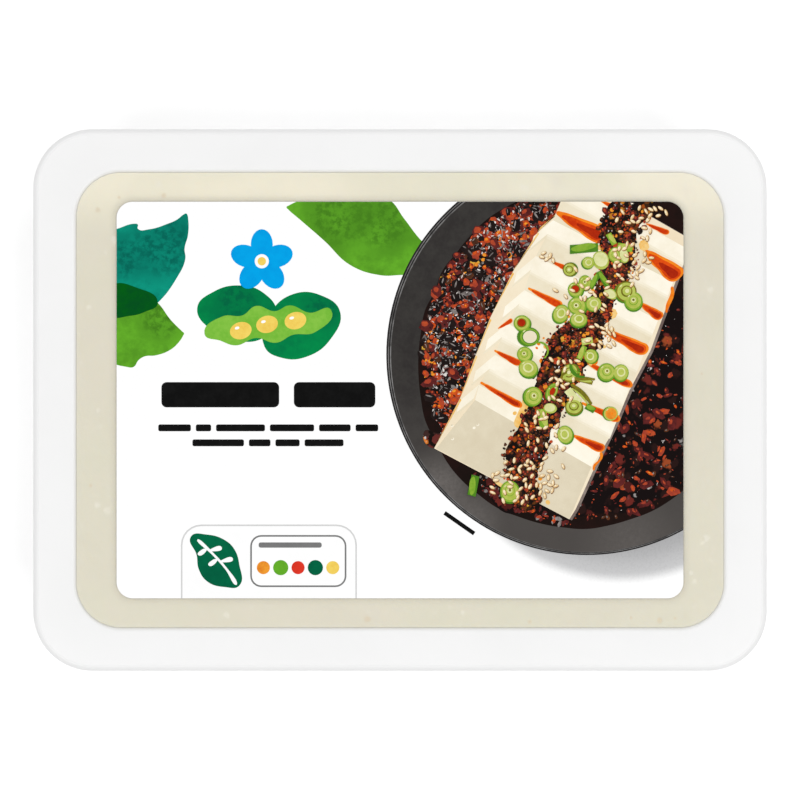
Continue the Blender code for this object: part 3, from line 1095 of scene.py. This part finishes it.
def print_block():
    """The sliced block: its outline, its side, and each slice's bright edge and shaded face."""
    whole = list(LEFT_CONTOUR) + list(RIGHT_CONTOUR)
    ink_shape("curd_edge", list(LEFT_CONTOUR) + shifted(RIGHT_CONTOUR, 0.5, -0.2), BLOCK_LEVEL, "VECTOR")
    ink_shape("curd_side", whole, BLOCK_LEVEL + 1, "VECTOR")
    band_x, band_y = LIT_BAND
    for number in range(len(SLICE_LEFT)):
        left_x, left_y = SLICE_LEFT[number]
        right_x, right_y = SLICE_RIGHT[number]
        last = number == len(SLICE_LEFT) - 1
        low_left = (14.3, 0.0) if last else (left_x + band_x, left_y + band_y)
        low_right = (36.4, -12.7) if last else (right_x + band_x, right_y + band_y)
        for ink, share in (("curd_half", 1.3), ("curd_soft", 1.15)):
            ink_shape(ink, (
                (left_x, left_y), (right_x, right_y),
                (right_x + (low_right[0] - right_x) * share, right_y + (low_right[1] - right_y) * share),
                (left_x + (low_left[0] - left_x) * share, left_y + (low_left[1] - left_y) * share),
            ), FACE_LEVEL + (0.35 if share == 1.3 else 0.7), "VECTOR")
        ink_shape("curd_lit", (
            (left_x, left_y), (right_x, right_y), low_right, low_left,
        ), FACE_LEVEL + 1, "VECTOR")
        if not last:
            ink_shape("curd_shade", (
                low_left, low_right, SLICE_RIGHT[number + 1], SLICE_LEFT[number + 1],
            ), FACE_LEVEL, "VECTOR")
        if number == 0:
            continue
        ink_shape("curd_lit", (
            (left_x, left_y), (left_x + band_x, left_y + band_y), (left_x - 4.2, left_y - 5.2),
            (left_x - 3.7, left_y - 3.1),
        ), BLOCK_LEVEL + 1.5, "VECTOR")
        ink_shape("curd_shade", (
            (left_x + band_x, left_y + band_y), (left_x + band_x - 0.1, left_y + band_y - 0.6),
            (left_x - 4.6, left_y - 6.0), (left_x - 4.5, left_y - 5.6),
        ), BLOCK_LEVEL + 1.6, "VECTOR")
    ink_shape("curd_end", BLOCK_END, FACE_LEVEL + 0.9, "VECTOR")
    for x, y in ((9.9, -4.9), (12.0, -6.0), (10.0, -7.4), (14.8, -4.7), (14.1, -5.3)):
        ink_disc("curd_lit", x, y, 0.3, FACE_LEVEL + 1.3, 0.8, 20, 12)
        ink_disc("curd_end", x - 0.05, y + 0.08, 0.2, FACE_LEVEL + 1.6, 0.8, 20, 12)


def streak(start, end, thickness, core):
    """A drop of chilli oil that ran along a slice's edge: pointed at its start and thick at its end."""
    run = Vector(end) - Vector(start)
    across = Vector((-run.y, run.x)).normalized()
    layers = (("oil_orange", 0.0, 1.0), ("oil_red", 0.12, 0.74), ("oil_dark", 0.42, 0.48))
    form = (
        (0.0, 0.55), (0.1, 0.72), (0.4, 0.86), (0.8, 1.0), (0.97, 0.95), (1.01, 0.5), (0.93, 0.12),
        (0.72, 0.02),
        (0.5, 0.16), (0.3, 0.2), (0.12, 0.36),
    )
    for level, (ink, inset, share) in enumerate(layers[:3 if core else 2]):
        outline = []
        for along, above in form:
            reach = inset + (1.0 - 0.04 * level - inset) * along
            point = Vector(start) + run * reach + across * thickness * (0.42 + (above - 0.42) * share)
            outline.append((point.x, point.y))
        ink_shape(ink, outline, OIL_LEVEL + level)


def print_oil():
    """Chilli oil along the slices, its drips down the block's side, and its stain beside the pile."""
    streaks = (
        ((38.0, 37.2), (41.9, 35.6), 1.0, False), ((28.9, 34.1), (38.4, 29.2), 2.8, True),
        ((28.6, 25.9), (31.4, 24.6), 0.8, False), ((24.0, 20.6), (30.4, 17.2), 1.2, False),
        ((18.9, 13.2), (21.6, 14.9), 0.7, False), ((17.6, 8.8), (22.6, 6.2), 1.1, False),
        ((14.9, 2.7), (22.7, -1.9), 1.2, True), ((46.6, 33.0), (50.9, 31.2), 0.9, False),
        ((45.4, 26.8), (52.1, 21.8), 3.0, True), ((45.0, 17.6), (49.2, 14.8), 1.6, True),
        ((38.0, 12.2), (46.4, 8.0), 2.1, True), ((34.2, 6.9), (43.7, 1.9), 1.3, True),
        ((34.2, -1.3), (41.4, -4.6), 1.3, False), ((32.4, -7.6), (38.4, -10.3), 1.5, True),
    )
    for start, end, thickness, core in streaks:
        streak(start, end, thickness * 1.2, core)
    drips = (((51.7, 21.6), (50.6, 16.6), 0.45), ((38.2, -9.9), (36.8, -13.4), 0.4))
    for (top_x, top_y), (foot_x, foot_y), width in drips:
        ink_shape("oil_orange", (
            (top_x, top_y), (top_x + width, top_y - 0.6), (foot_x + width * 0.8, foot_y + 0.6),
            (foot_x + width * 0.2, foot_y), (foot_x - 0.1, foot_y + 0.8), (top_x - 0.2, top_y - 1.2),
        ), OIL_LEVEL)
    for number in range(len(LEFT_CONTOUR) - 1):
        (x, y), (next_x, next_y) = LEFT_CONTOUR[number], LEFT_CONTOUR[number + 1]
        ink_shape("oil_stain", (
            (x + 0.05, y), (x + 0.3, y - 0.3), (next_x + 0.45, next_y + 0.9), (next_x + 0.1, next_y + 0.2),
        ), BLOCK_LEVEL + 1.8, "VECTOR")
    ink_shape("oil_stain", (
        (22.6, -2.0), (21.2, -5.5), (20.3, -8.4), (18.4, -11.6), (17.6, -14.9), (20.0, -17.0), (25.5, -18.8),
        (29.0, -20.4), (30.4, -19.6), (28.2, -16.6), (25, -14), (26.5, -9), (28, 0), (25, 2),
    ), OIL_LEVEL - 0.5)


PILE_PATH = (
    (44.8, 38.5, 4.2), (42.3, 34.0, 4.4), (41.4, 29.8, 4.2), (41.9, 26.2, 3.7), (39.8, 22.0, 3.1),
    (38.0, 17.0, 3.0),
    (35.4, 13.2, 4.2), (32.4, 10.2, 5.2), (30.6, 5.4, 4.6), (28.4, 0.2, 4.0), (25.8, -5.4, 4.1),
    (23.6, -10.2, 4.4),
    (22.6, -14.6, 3.6), (24.0, -18.4, 3.4),
)


def along_pile(share):
    """Centre and half width of the pile at a share of its length."""
    reach = share * (len(PILE_PATH) - 1)
    number = min(int(reach), len(PILE_PATH) - 2)
    rest = reach - number
    first, second = PILE_PATH[number], PILE_PATH[number + 1]
    return [a + (b - a) * rest for a, b in zip(first, second)]


def in_pile(spread):
    """A random place on the pile; a spread of 1 reaches its edges."""
    x, y, half_width = along_pile(DRAW.random())
    turn = DRAW.uniform(0, math.tau)
    away = half_width * spread * math.sqrt(DRAW.random())
    return x + away * math.cos(turn), y + away * math.sin(turn)


def contour_x(contour, y):
    """Where a contour that runs up or down crosses this height."""
    points = sorted(contour, key=lambda point: point[1])
    for (low_x, low_y), (high_x, high_y) in zip(points, points[1:]):
        if low_y <= y <= high_y:
            return low_x + (high_x - low_x) * (y - low_y) / (high_y - low_y)
    return points[0][0] if y < points[0][1] else points[-1][0]


def in_sauce(reach):
    """A random place in the sauce on either side of the block."""
    while True:
        turn = DRAW.uniform(0, math.tau)
        away = reach * math.sqrt(DRAW.random())
        x, y = DISH_X + away * math.cos(turn), DISH_Y + away * math.sin(turn)
        if x > 55 or y > 38.5:
            continue
        if y > -9.2 and x < contour_x(LEFT_CONTOUR, y) - 0.2:
            return x, y, "left"
        if -22.7 < y < 34 and x > contour_x(RIGHT_CONTOUR[:9], y) + 0.6:
            return x, y, "right"


def crumbs(count, where, smallest, largest, levels, slim=0.55):
    """Places for strewn crumbs, more of them small than large."""
    places = []
    for _ in range(count):
        x, y = where()
        length = smallest + (largest - smallest) * DRAW.random() ** 2.2
        width = length * DRAW.uniform(slim, min(0.95, slim + 0.4))
        places.append((x, y, length, width, DRAW.uniform(0, math.tau), DRAW.uniform(*levels)))
    return places


def lit_side(places, share=0.45, slim=1.0):
    """The brighter upper left of each larger crumb."""
    lit = []
    for x, y, length, width, turn, level in places:
        if length > 0.65:
            away = 0.14 * width
            lit.append((x - away, y + away, length * share, width * share * slim, turn, level + 0.3))
    return lit


def left_sauce():
    while True:
        x, y, side = in_sauce(31.1)
        if side == "left":
            return x, y


def right_sauce():
    while True:
        x, y, side = in_sauce(31.4)
        if side == "right" and DRAW.random() < 0.3 + 0.7 * (y < 12):
            return x, y


def low_sauce():
    """A place in the strip of sauce below the block's lower edge."""
    while True:
        x = DRAW.uniform(13.0, 33.0)
        y = -9.8 - 0.525 * (x - 6.5) - DRAW.uniform(0.2, 4.5)
        if math.hypot(x - DISH_X, y - DISH_Y) < POOL_REACH:
            return x, y


def wet_patch():
    """A place in one of the patches of the left sauce where it glistens."""
    centre_x, centre_y, spread = DRAW.choice(WET_PATCHES)
    while True:
        x = DRAW.gauss(centre_x, spread)
        y = DRAW.gauss(centre_y, spread)
        if x < contour_x(LEFT_CONTOUR, y) - 0.3 and math.hypot(x - DISH_X, y - DISH_Y) < 31 and y < 37.7:
            return x, y


WET_PATCHES = (
    (17.5, 33.5, 1.9), (14.6, 30.8, 1.6), (21.6, 28.6, 1.9), (23.3, 35.0, 2.0), (10.2, 16.8, 2.0),
    (14.5, 14.0, 2.4),
    (15.2, 20.6, 2.2), (7.2, 12.4, 1.8), (12.2, 9.0, 2.2), (8.0, 7.0, 1.8), (10.4, 1.4, 2.0),
    (18.6, 24.4, 1.7),
)


def wet_thread(x, y, turn, length):
    """A thin wandering line of light along the edge of a wet lump."""
    there, back = [], []
    for step in range(7):
        x += length / 7 * math.cos(turn)
        y += length / 7 * math.sin(turn)
        turn += DRAW.uniform(-0.9, 0.9)
        side = 0.12 + 0.05 * DRAW.random()
        there.append((x, y))
        back.append((x + side * math.sin(turn), y - side * math.cos(turn)))
    ink_shape("wet_line", there + back[::-1], CRUMB_LEVELS[1] + 0.5)


def print_threads():
    """Wet edges round the bigger lumps of the sauce."""
    for x, y, turn, length in (
        (19.5, 34.0, -1.9, 6.5), (17.8, 27.5, -1.2, 3.0), (21.0, 15.5, -2.0, 5.0), (17.6, 11.2, -1.4, 5.5),
        (15.0, 4.6, -2.2, 6.0), (11.6, -0.6, -1.3, 4.5), (10.6, 21.0, -0.4, 3.6), (13.6, 17.6, 0.5, 3.8),
    ):
        wet_thread(x, y, turn, length)


def print_crumbs():
    """Chilli flakes, peppercorns and wet glints in the sauce, thick on the left and thin on the right."""
    ragged = [crumb(7, 0.16, seed) for seed in range(1, 6)]
    plain = [crumb(8, 0.05, seed) for seed in range(6, 9)]
    for ink, lit_ink, count, smallest, largest, slim in (
        ("chilli_brown", "wet_line", 70, 0.4, 2.0, 0.3), ("chilli_dark", "chilli_red", 210, 0.5, 3.2, 1.0),
        ("chilli_red", "chilli_orange", 150, 0.4, 2.6, 0.8), ("char_black", "wet_line", 280, 0.4, 2.8, 0.3),
        ("chilli_orange", "pepper_amber", 85, 0.4, 1.9, 0.8),
    ):
        places = crumbs(count, left_sauce, smallest, largest, CRUMB_LEVELS)
        strew(ink, ragged, places)
        strew(lit_ink, ragged, lit_side(places, 0.5, slim))
    strew("pepper_amber", plain, crumbs(76, left_sauce, 0.3, 1.2, CRUMB_LEVELS, 0.7))
    strew("char_black", ragged, crumbs(200, wet_patch, 0.3, 1.4, CRUMB_LEVELS))
    strew("wet_line", ragged, crumbs(190, wet_patch, 0.4, 1.8, CRUMB_LEVELS, 0.1))
    strew("wet_glint", ragged, crumbs(560, wet_patch, 0.15, 0.8, CRUMB_LEVELS, 0.2))
    strew("wet_glint", ragged, crumbs(220, left_sauce, 0.15, 0.6, CRUMB_LEVELS, 0.2))
    print_threads()
    for ink, count in (("chilli_dark", 46), ("chilli_red", 20), ("chilli_orange", 9), ("wet_line", 26)):
        strew(ink, ragged, crumbs(count, low_sauce, 0.3, 1.5, CRUMB_LEVELS, 0.4))
    for ink, lit_ink, count, smallest, largest in (
        ("chilli_dark", "chilli_red", 130, 0.3, 3.0), ("chilli_red", "chilli_orange", 56, 0.4, 2.6),
        ("chilli_orange", "pepper_amber", 24, 0.3, 1.6), ("chilli_brown", "wet_line", 60, 0.3, 1.4),
    ):
        places = crumbs(count, right_sauce, smallest, largest, CRUMB_LEVELS, 0.3)
        strew(ink, ragged, places)
        strew(lit_ink, ragged, lit_side(places, 0.35))
    strew("wet_glint", ragged, crumbs(46, right_sauce, 0.1, 0.35, CRUMB_LEVELS, 0.25))
    print_pile(ragged, plain)
    for model in ragged + plain:
        bpy.data.objects.remove(model)


def print_pile(ragged, plain):
    """Fried chilli and sesame heaped down the middle of the block."""
    for number in range(34):
        x, y, half_width = along_pile(number / 33)
        x += DRAW.uniform(-0.4, 0.4)
        ink_disc("pile_mix", x, y, half_width * DRAW.uniform(0.72, 0.9), PILE_LEVEL, sides=14)
    strew("oil_stain", plain, crumbs(60, lambda: in_pile(1.3), 0.8, 2.4, (OIL_LEVEL, PILE_LEVEL - 1), 0.7))
    strew("oil_orange", plain, crumbs(60, lambda: in_pile(1.22), 0.6, 1.8, (OIL_LEVEL, PILE_LEVEL - 1), 0.7))
    for ink, lit_ink, count, smallest, largest in (
        ("chilli_brown", "chilli_red", 330, 0.3, 1.5), ("char_black", "chilli_brown", 380, 0.3, 1.5),
        ("chilli_dark", "chilli_red", 300, 0.3, 1.6), ("chilli_red", "chilli_orange", 210, 0.3, 1.2),
        ("chilli_orange", "pepper_amber", 130, 0.3, 1.0),
    ):
        places = crumbs(count, lambda: in_pile(1.0), smallest, largest, PILE_LEVELS)
        strew(ink, ragged, places)
        strew(lit_ink, ragged, lit_side(places))
    strew("pepper_amber", plain, crumbs(80, lambda: in_pile(1.1), 0.4, 1.0, PILE_LEVELS, 0.75))
    strew("wet_glint", ragged, crumbs(60, lambda: in_pile(1.0), 0.1, 0.3, PILE_LEVELS, 0.3))
    seed = crumb(10, 0.02, 11)
    places = []
    clusters = (
        (62, 44.2, 29.3, 3.9, 8.0), (9, 28.3, 27.2, 2.0, 1.4), (24, 38.4, 12.2, 3.6, 2.4),
        (26, 31.0, 4.0, 3.6, 6.0),
        (84, 23.4, -15.6, 6.6, 4.4), (10, 29.6, -9.5, 2.2, 5.0), (12, 38.0, 20.0, 3.0, 4.0),
        (20, 26.0, -5.5, 3.6, 4.0),
        (12, 33.0, 21.0, 5.0, 5.0), (10, 48.5, 35.5, 2.5, 1.8),
    )
    for count, x, y, wide, high in clusters:
        for _ in range(count):
            turn = DRAW.uniform(0, math.tau)
            away = math.sqrt(DRAW.random())
            seed_x = x + wide * away * math.cos(turn)
            seed_y = y + high * away * math.sin(turn)
            if all(math.hypot(seed_x - other[0], seed_y - other[1]) > 0.75 for other in places):
                places.append((
                    seed_x, seed_y, DRAW.uniform(1.0, 1.25), DRAW.uniform(0.46, 0.58), DRAW.uniform(0, math.tau),
                    DRAW.uniform(*SEED_LEVELS),
                ))
    shades = [(x + 0.07, y - 0.09, length * 1.1, width * 1.22, turn, level - 2.2)
              for x, y, length, width, turn, level in places]
    strew("seed_shade", [seed], shades)
    strew("sesame", [seed], places)
    shines = [(x - 0.08, y + 0.08, length * 0.4, width * 0.4, turn, level + 0.3)
              for x, y, length, width, turn, level in places]
    strew("seed_shine", [seed], shines)
    bpy.data.objects.remove(seed)


# Spring onion rings: x, y, radius, stretch, turn, kind.
ONION_RINGS = (
    (32.3, 24.8, 1.34, 1.0, 0, "olive"), (35.8, 26.1, 1.2, 0.95, 0, "pale"),
    (38.2, 26.7, 1.5, 1.1, 30, "white"),
    (41.1, 27.6, 1.5, 1.0, 0, "green"), (42.6, 27.5, 0.9, 1.6, 15, "white"),
    (33.4, 21.0, 1.5, 0.95, 0, "hollow"),
    (35.2, 22.3, 1.25, 1.15, 0, "green"), (36.8, 18.3, 1.5, 0.95, 0, "pale"),
    (33.7, 17.9, 1.8, 0.95, 0, "green"),
    (34.0, 15.3, 1.65, 0.85, 0, "pale"), (30.6, 16.4, 1.5, 1.2, -25, "pale"),
    (40.0, 20.2, 1.3, 0.7, -30, "white"),
    (43.0, 20.6, 2.0, 1.0, 0, "olive"), (44.4, 18.8, 1.75, 1.0, 0, "green"),
    (23.2, 14.6, 1.6, 0.95, 0, "hollow"),
    (24.6, 12.0, 2.0, 0.9, 0, "open"), (23.7, 8.7, 1.45, 1.0, 0, "green"),
    (24.4, 6.0, 1.85, 0.9, -20, "pale"),
    (25.3, 0.7, 1.75, 1.05, 0, "green"), (36.3, 8.3, 1.3, 1.05, 0, "pale"), (42.0, 5.2, 1.5, 1.05, 0, "pale"),
    (39.3, 5.3, 1.7, 1.0, 0, "green"), (32.3, 5.2, 1.6, 1.15, -30, "olive"),
    (28.9, 1.6, 1.0, 1.7, -25, "hollow"),
    (33.1, -1.3, 1.7, 0.9, 0, "olive"), (28.5, -1.5, 1.2, 0.75, 0, "white"),
    (40.1, -2.6, 1.35, 1.0, 0, "yellow"),
    (31.4, -6.6, 1.5, 1.15, 10, "pale"), (20.9, -17.4, 1.85, 1.1, 0, "green"),
)
# Cut lengths of its leaf: x, y, length, width, turn, ink.
ONION_LEAVES = (
    (35.0, 28.8, 5.5, 1.7, 4, "onion_dark"), (37.0, 22.6, 3.2, 1.0, 60, "onion_dark"),
    (38.6, 23.0, 3.4, 1.0, -60, "onion_dark"), (14.0, -16.3, 4.0, 1.6, 78, "onion_dark"),
    (27.1, -3.5, 3.7, 1.7, -80, "onion_green"), (40.2, 30.6, 2.4, 1.1, -60, "onion_green"),
    (42.8, 29.0, 3.0, 1.4, -10, "onion_green"), (32.9, 0.7, 3.4, 1.5, -50, "onion_white"),
    (35.2, 3.6, 3.0, 0.8, -15, "onion_olive"), (36.2, -1.6, 1.9, 1.2, -30, "onion_dark"),
    (35.6, 11.2, 2.2, 1.3, 10, "onion_pale"), (34.6, 9.0, 2.8, 1.1, 65, "onion_green"),
)
LIT_LEAF = {
    "onion_dark": "onion_green", "onion_green": "onion_pale", "onion_pale": "onion_white",
    "onion_white": "plain_white", "onion_olive": "onion_pale",
}
# Bent shreds: x, y, radius, first and last angle, width, ink.
ONION_CURLS = (
    (32.2, 3.9, 1.75, 10, 200, 0.5, "onion_olive"), (32.2, 3.9, 1.25, 30, 180, 0.4, "onion_pale"),
    (29.6, 1.4, 1.5, 70, 270, 0.6, "onion_green"), (29.6, 1.4, 1.0, 80, 250, 0.35, "onion_white"),
    (30.6, -2.9, 6.3, 20, 72, 0.9, "onion_olive"), (30.2, -3.3, 6.1, 24, 66, 0.35, "onion_pale"),
    (35.0, -1.2, 5.6, 68, 112, 0.7, "onion_olive"), (26.6, 9.4, 1.7, -60, 130, 0.4, "onion_green"),
    (34.4, 6.4, 2.2, 150, 290, 0.7, "onion_dark"), (34.2, 6.7, 1.6, 160, 270, 0.35, "onion_green"),
)
# The inks of each kind of ring, from its outside inwards, and the share of the radius each fills.
RING_KINDS = {
    "green": (("onion_green", 1.0), ("onion_pale", 0.84), ("onion_green", 0.52), ("onion_pale", 0.44),
              ("onion_white", 0.26), ("onion_olive", 0.13)),
    "pale": (("onion_green", 1.0), ("onion_pale", 0.90), ("onion_white", 0.55), ("onion_pale", 0.38)),
    "white": (("onion_pale", 1.0), ("onion_white", 0.85)),
    "hollow": (("onion_green", 1.0), ("onion_pale", 0.84), ("onion_olive", 0.58), ("oil_dark", 0.46)),
    "open": (("onion_dark", 1.0), ("onion_green", 0.90), ("onion_dark", 0.74), ("curd_shade", 0.66)),
    "olive": (("onion_olive", 1.0), ("onion_pale", 0.86), ("onion_olive", 0.55), ("onion_pale", 0.42),
              ("onion_white", 0.2)),
    "yellow": (("onion_pale", 1.0), ("pepper_amber", 0.8), ("oil_orange", 0.2)),
}


def print_onions():
    """Spring onion cut in rings and short lengths."""
    for number, (x, y, radius, stretch, turn, kind) in enumerate(ONION_RINGS):
        level = ONION_LEVEL + (number % 5) * 0.18
        wall = "onion_pale" if kind == "white" else "onion_dark"
        slip = radius * 0.16
        side_x, side_y = slip * math.cos(2.3 * number), -slip * abs(math.sin(2.3 * number))
        ink_disc(wall, x + side_x, y + side_y, radius * 1.02, level - 1, stretch, turn, 20)
        for share, (ink, size) in enumerate(RING_KINDS[kind]):
            drift = (1 - size) * 0.16 * radius
            ink_disc(
                ink, x - side_x / slip * drift, y - side_y / slip * drift, radius * size,
                level + share * 0.85, stretch, turn, 20,
            )
        ink_disc("onion_white", x - 0.5 * radius, y + 0.55 * radius, 0.18 * radius, level + 5.4, 0.35, 42, 8)
    for x, y, length, width, turn, ink in ONION_LEAVES:
        angle = math.radians(turn)
        along = Vector((math.cos(angle), math.sin(angle))) * length / 2
        across = Vector((-math.sin(angle), math.cos(angle))) * width / 2
        middle = Vector((x, y))
        corners = (middle - along - across, middle + along * 0.95 - across * 0.9, middle + along + across,
                   middle - along * 0.95 + across)
        ink_shape(ink, [(corner.x, corner.y) for corner in corners], ONION_LEVEL + 0.5, "VECTOR")
        middle += across * 0.25
        corners = (middle - along * 0.9 - across * 0.3, middle + along * 0.7 - across * 0.2,
                   middle + along * 0.85 + across * 0.25, middle - along * 0.8 + across * 0.2)
        ink_shape(LIT_LEAF[ink], [(corner.x, corner.y) for corner in corners], ONION_LEVEL + 1.2)
    for x, y, radius, start, end, width, ink in ONION_CURLS:
        outside, inside = [], []
        for step in range(9):
            angle = math.radians(start + (end - start) * step / 8)
            swell = width * (0.35 + 0.65 * math.sin(math.pi * step / 8))
            outside.append((x + radius * math.cos(angle), y + radius * math.sin(angle)))
            inside.append((x + (radius - swell) * math.cos(angle), y + (radius - swell) * math.sin(angle)))
        ink_shape(ink, outside + inside[::-1], ONION_LEVEL + 3)


# ---------------------------------------------------------------- stage

def make_floor():
    """A plain pale floor."""
    deselect()
    bpy.ops.mesh.primitive_plane_add(size=6)
    floor = named("pale_floor")
    material, tree, shader = new_material("pale_floor_paint")
    shader.inputs["Base Color"].default_value = (0.94, 0.94, 0.94, 1)
    shader.inputs["Roughness"].default_value = 0.9
    shader.inputs["Specular IOR Level"].default_value = 0.1
    shader.inputs["Emission Color"].default_value = (1, 1, 1, 1)
    shader.inputs["Emission Strength"].default_value = 0.22
    floor.data.materials.append(material)


def make_light(name, x, y, z, size, watts):
    deselect()
    bpy.ops.object.light_add(type="AREA", location=(x, y, z))
    light = bpy.context.active_object
    light.name = name
    light.data.shape = "DISK"
    light.data.size = size
    light.data.energy = watts
    light.rotation_mode = "QUATERNION"
    light.rotation_quaternion = Vector((x, y, z)).to_track_quat("Z", "Y")


def make_lights():
    """Four wide soft lights round the pack, and an even dim sky."""
    for number, share in enumerate(LIGHT_SHARES):
        angle = math.radians(45 + 90 * number)
        x, y = 0.5 * math.cos(angle), 0.5 * math.sin(angle)
        make_light(f"softbox_{number}", x, y, 1.0, 0.5, LIGHT_WATTS * share)
    world = bpy.data.worlds.new("soft_sky")
    bpy.context.scene.world = world
    world.use_nodes = True
    sky = world.node_tree.nodes["Background"]
    sky.inputs["Color"].default_value = (1, 1, 1, 1)
    sky.inputs["Strength"].default_value = SKY_STRENGTH


LIGHT_WATTS = 2.24
LIGHT_SHARES = (1.0, 0.72, 1.0, 1.28)
SKY_STRENGTH = 0.42
LENS = 120.0
SENSOR = 36.0
VIEW_WIDTH = PACK_LENGTH * 1.0907


def make_camera():
    """A camera straight above the pack, with the label upright in the view."""
    data = bpy.data.cameras.new("view_from_above")
    camera = bpy.data.objects.new("view_from_above", data)
    bpy.context.scene.collection.objects.link(camera)
    data.lens = LENS
    data.sensor_width = SENSOR
    data.clip_start = 0.01
    data.clip_end = 10
    camera.location = (0, 0, RIM_TOP - RIM_EDGE_RADIUS + VIEW_WIDTH * LENS / SENSOR)
    bpy.context.scene.camera = camera


make_camera()
make_lights()
make_floor()
make_tray()
make_tofu()
make_film()
make_label()
print_leaves()
print_motif()
print_words()
print_dish()
print_block()
print_oil()
print_crumbs()
print_onions()
join_layers()
bpy.context.scene.view_settings.view_transform = "Standard"
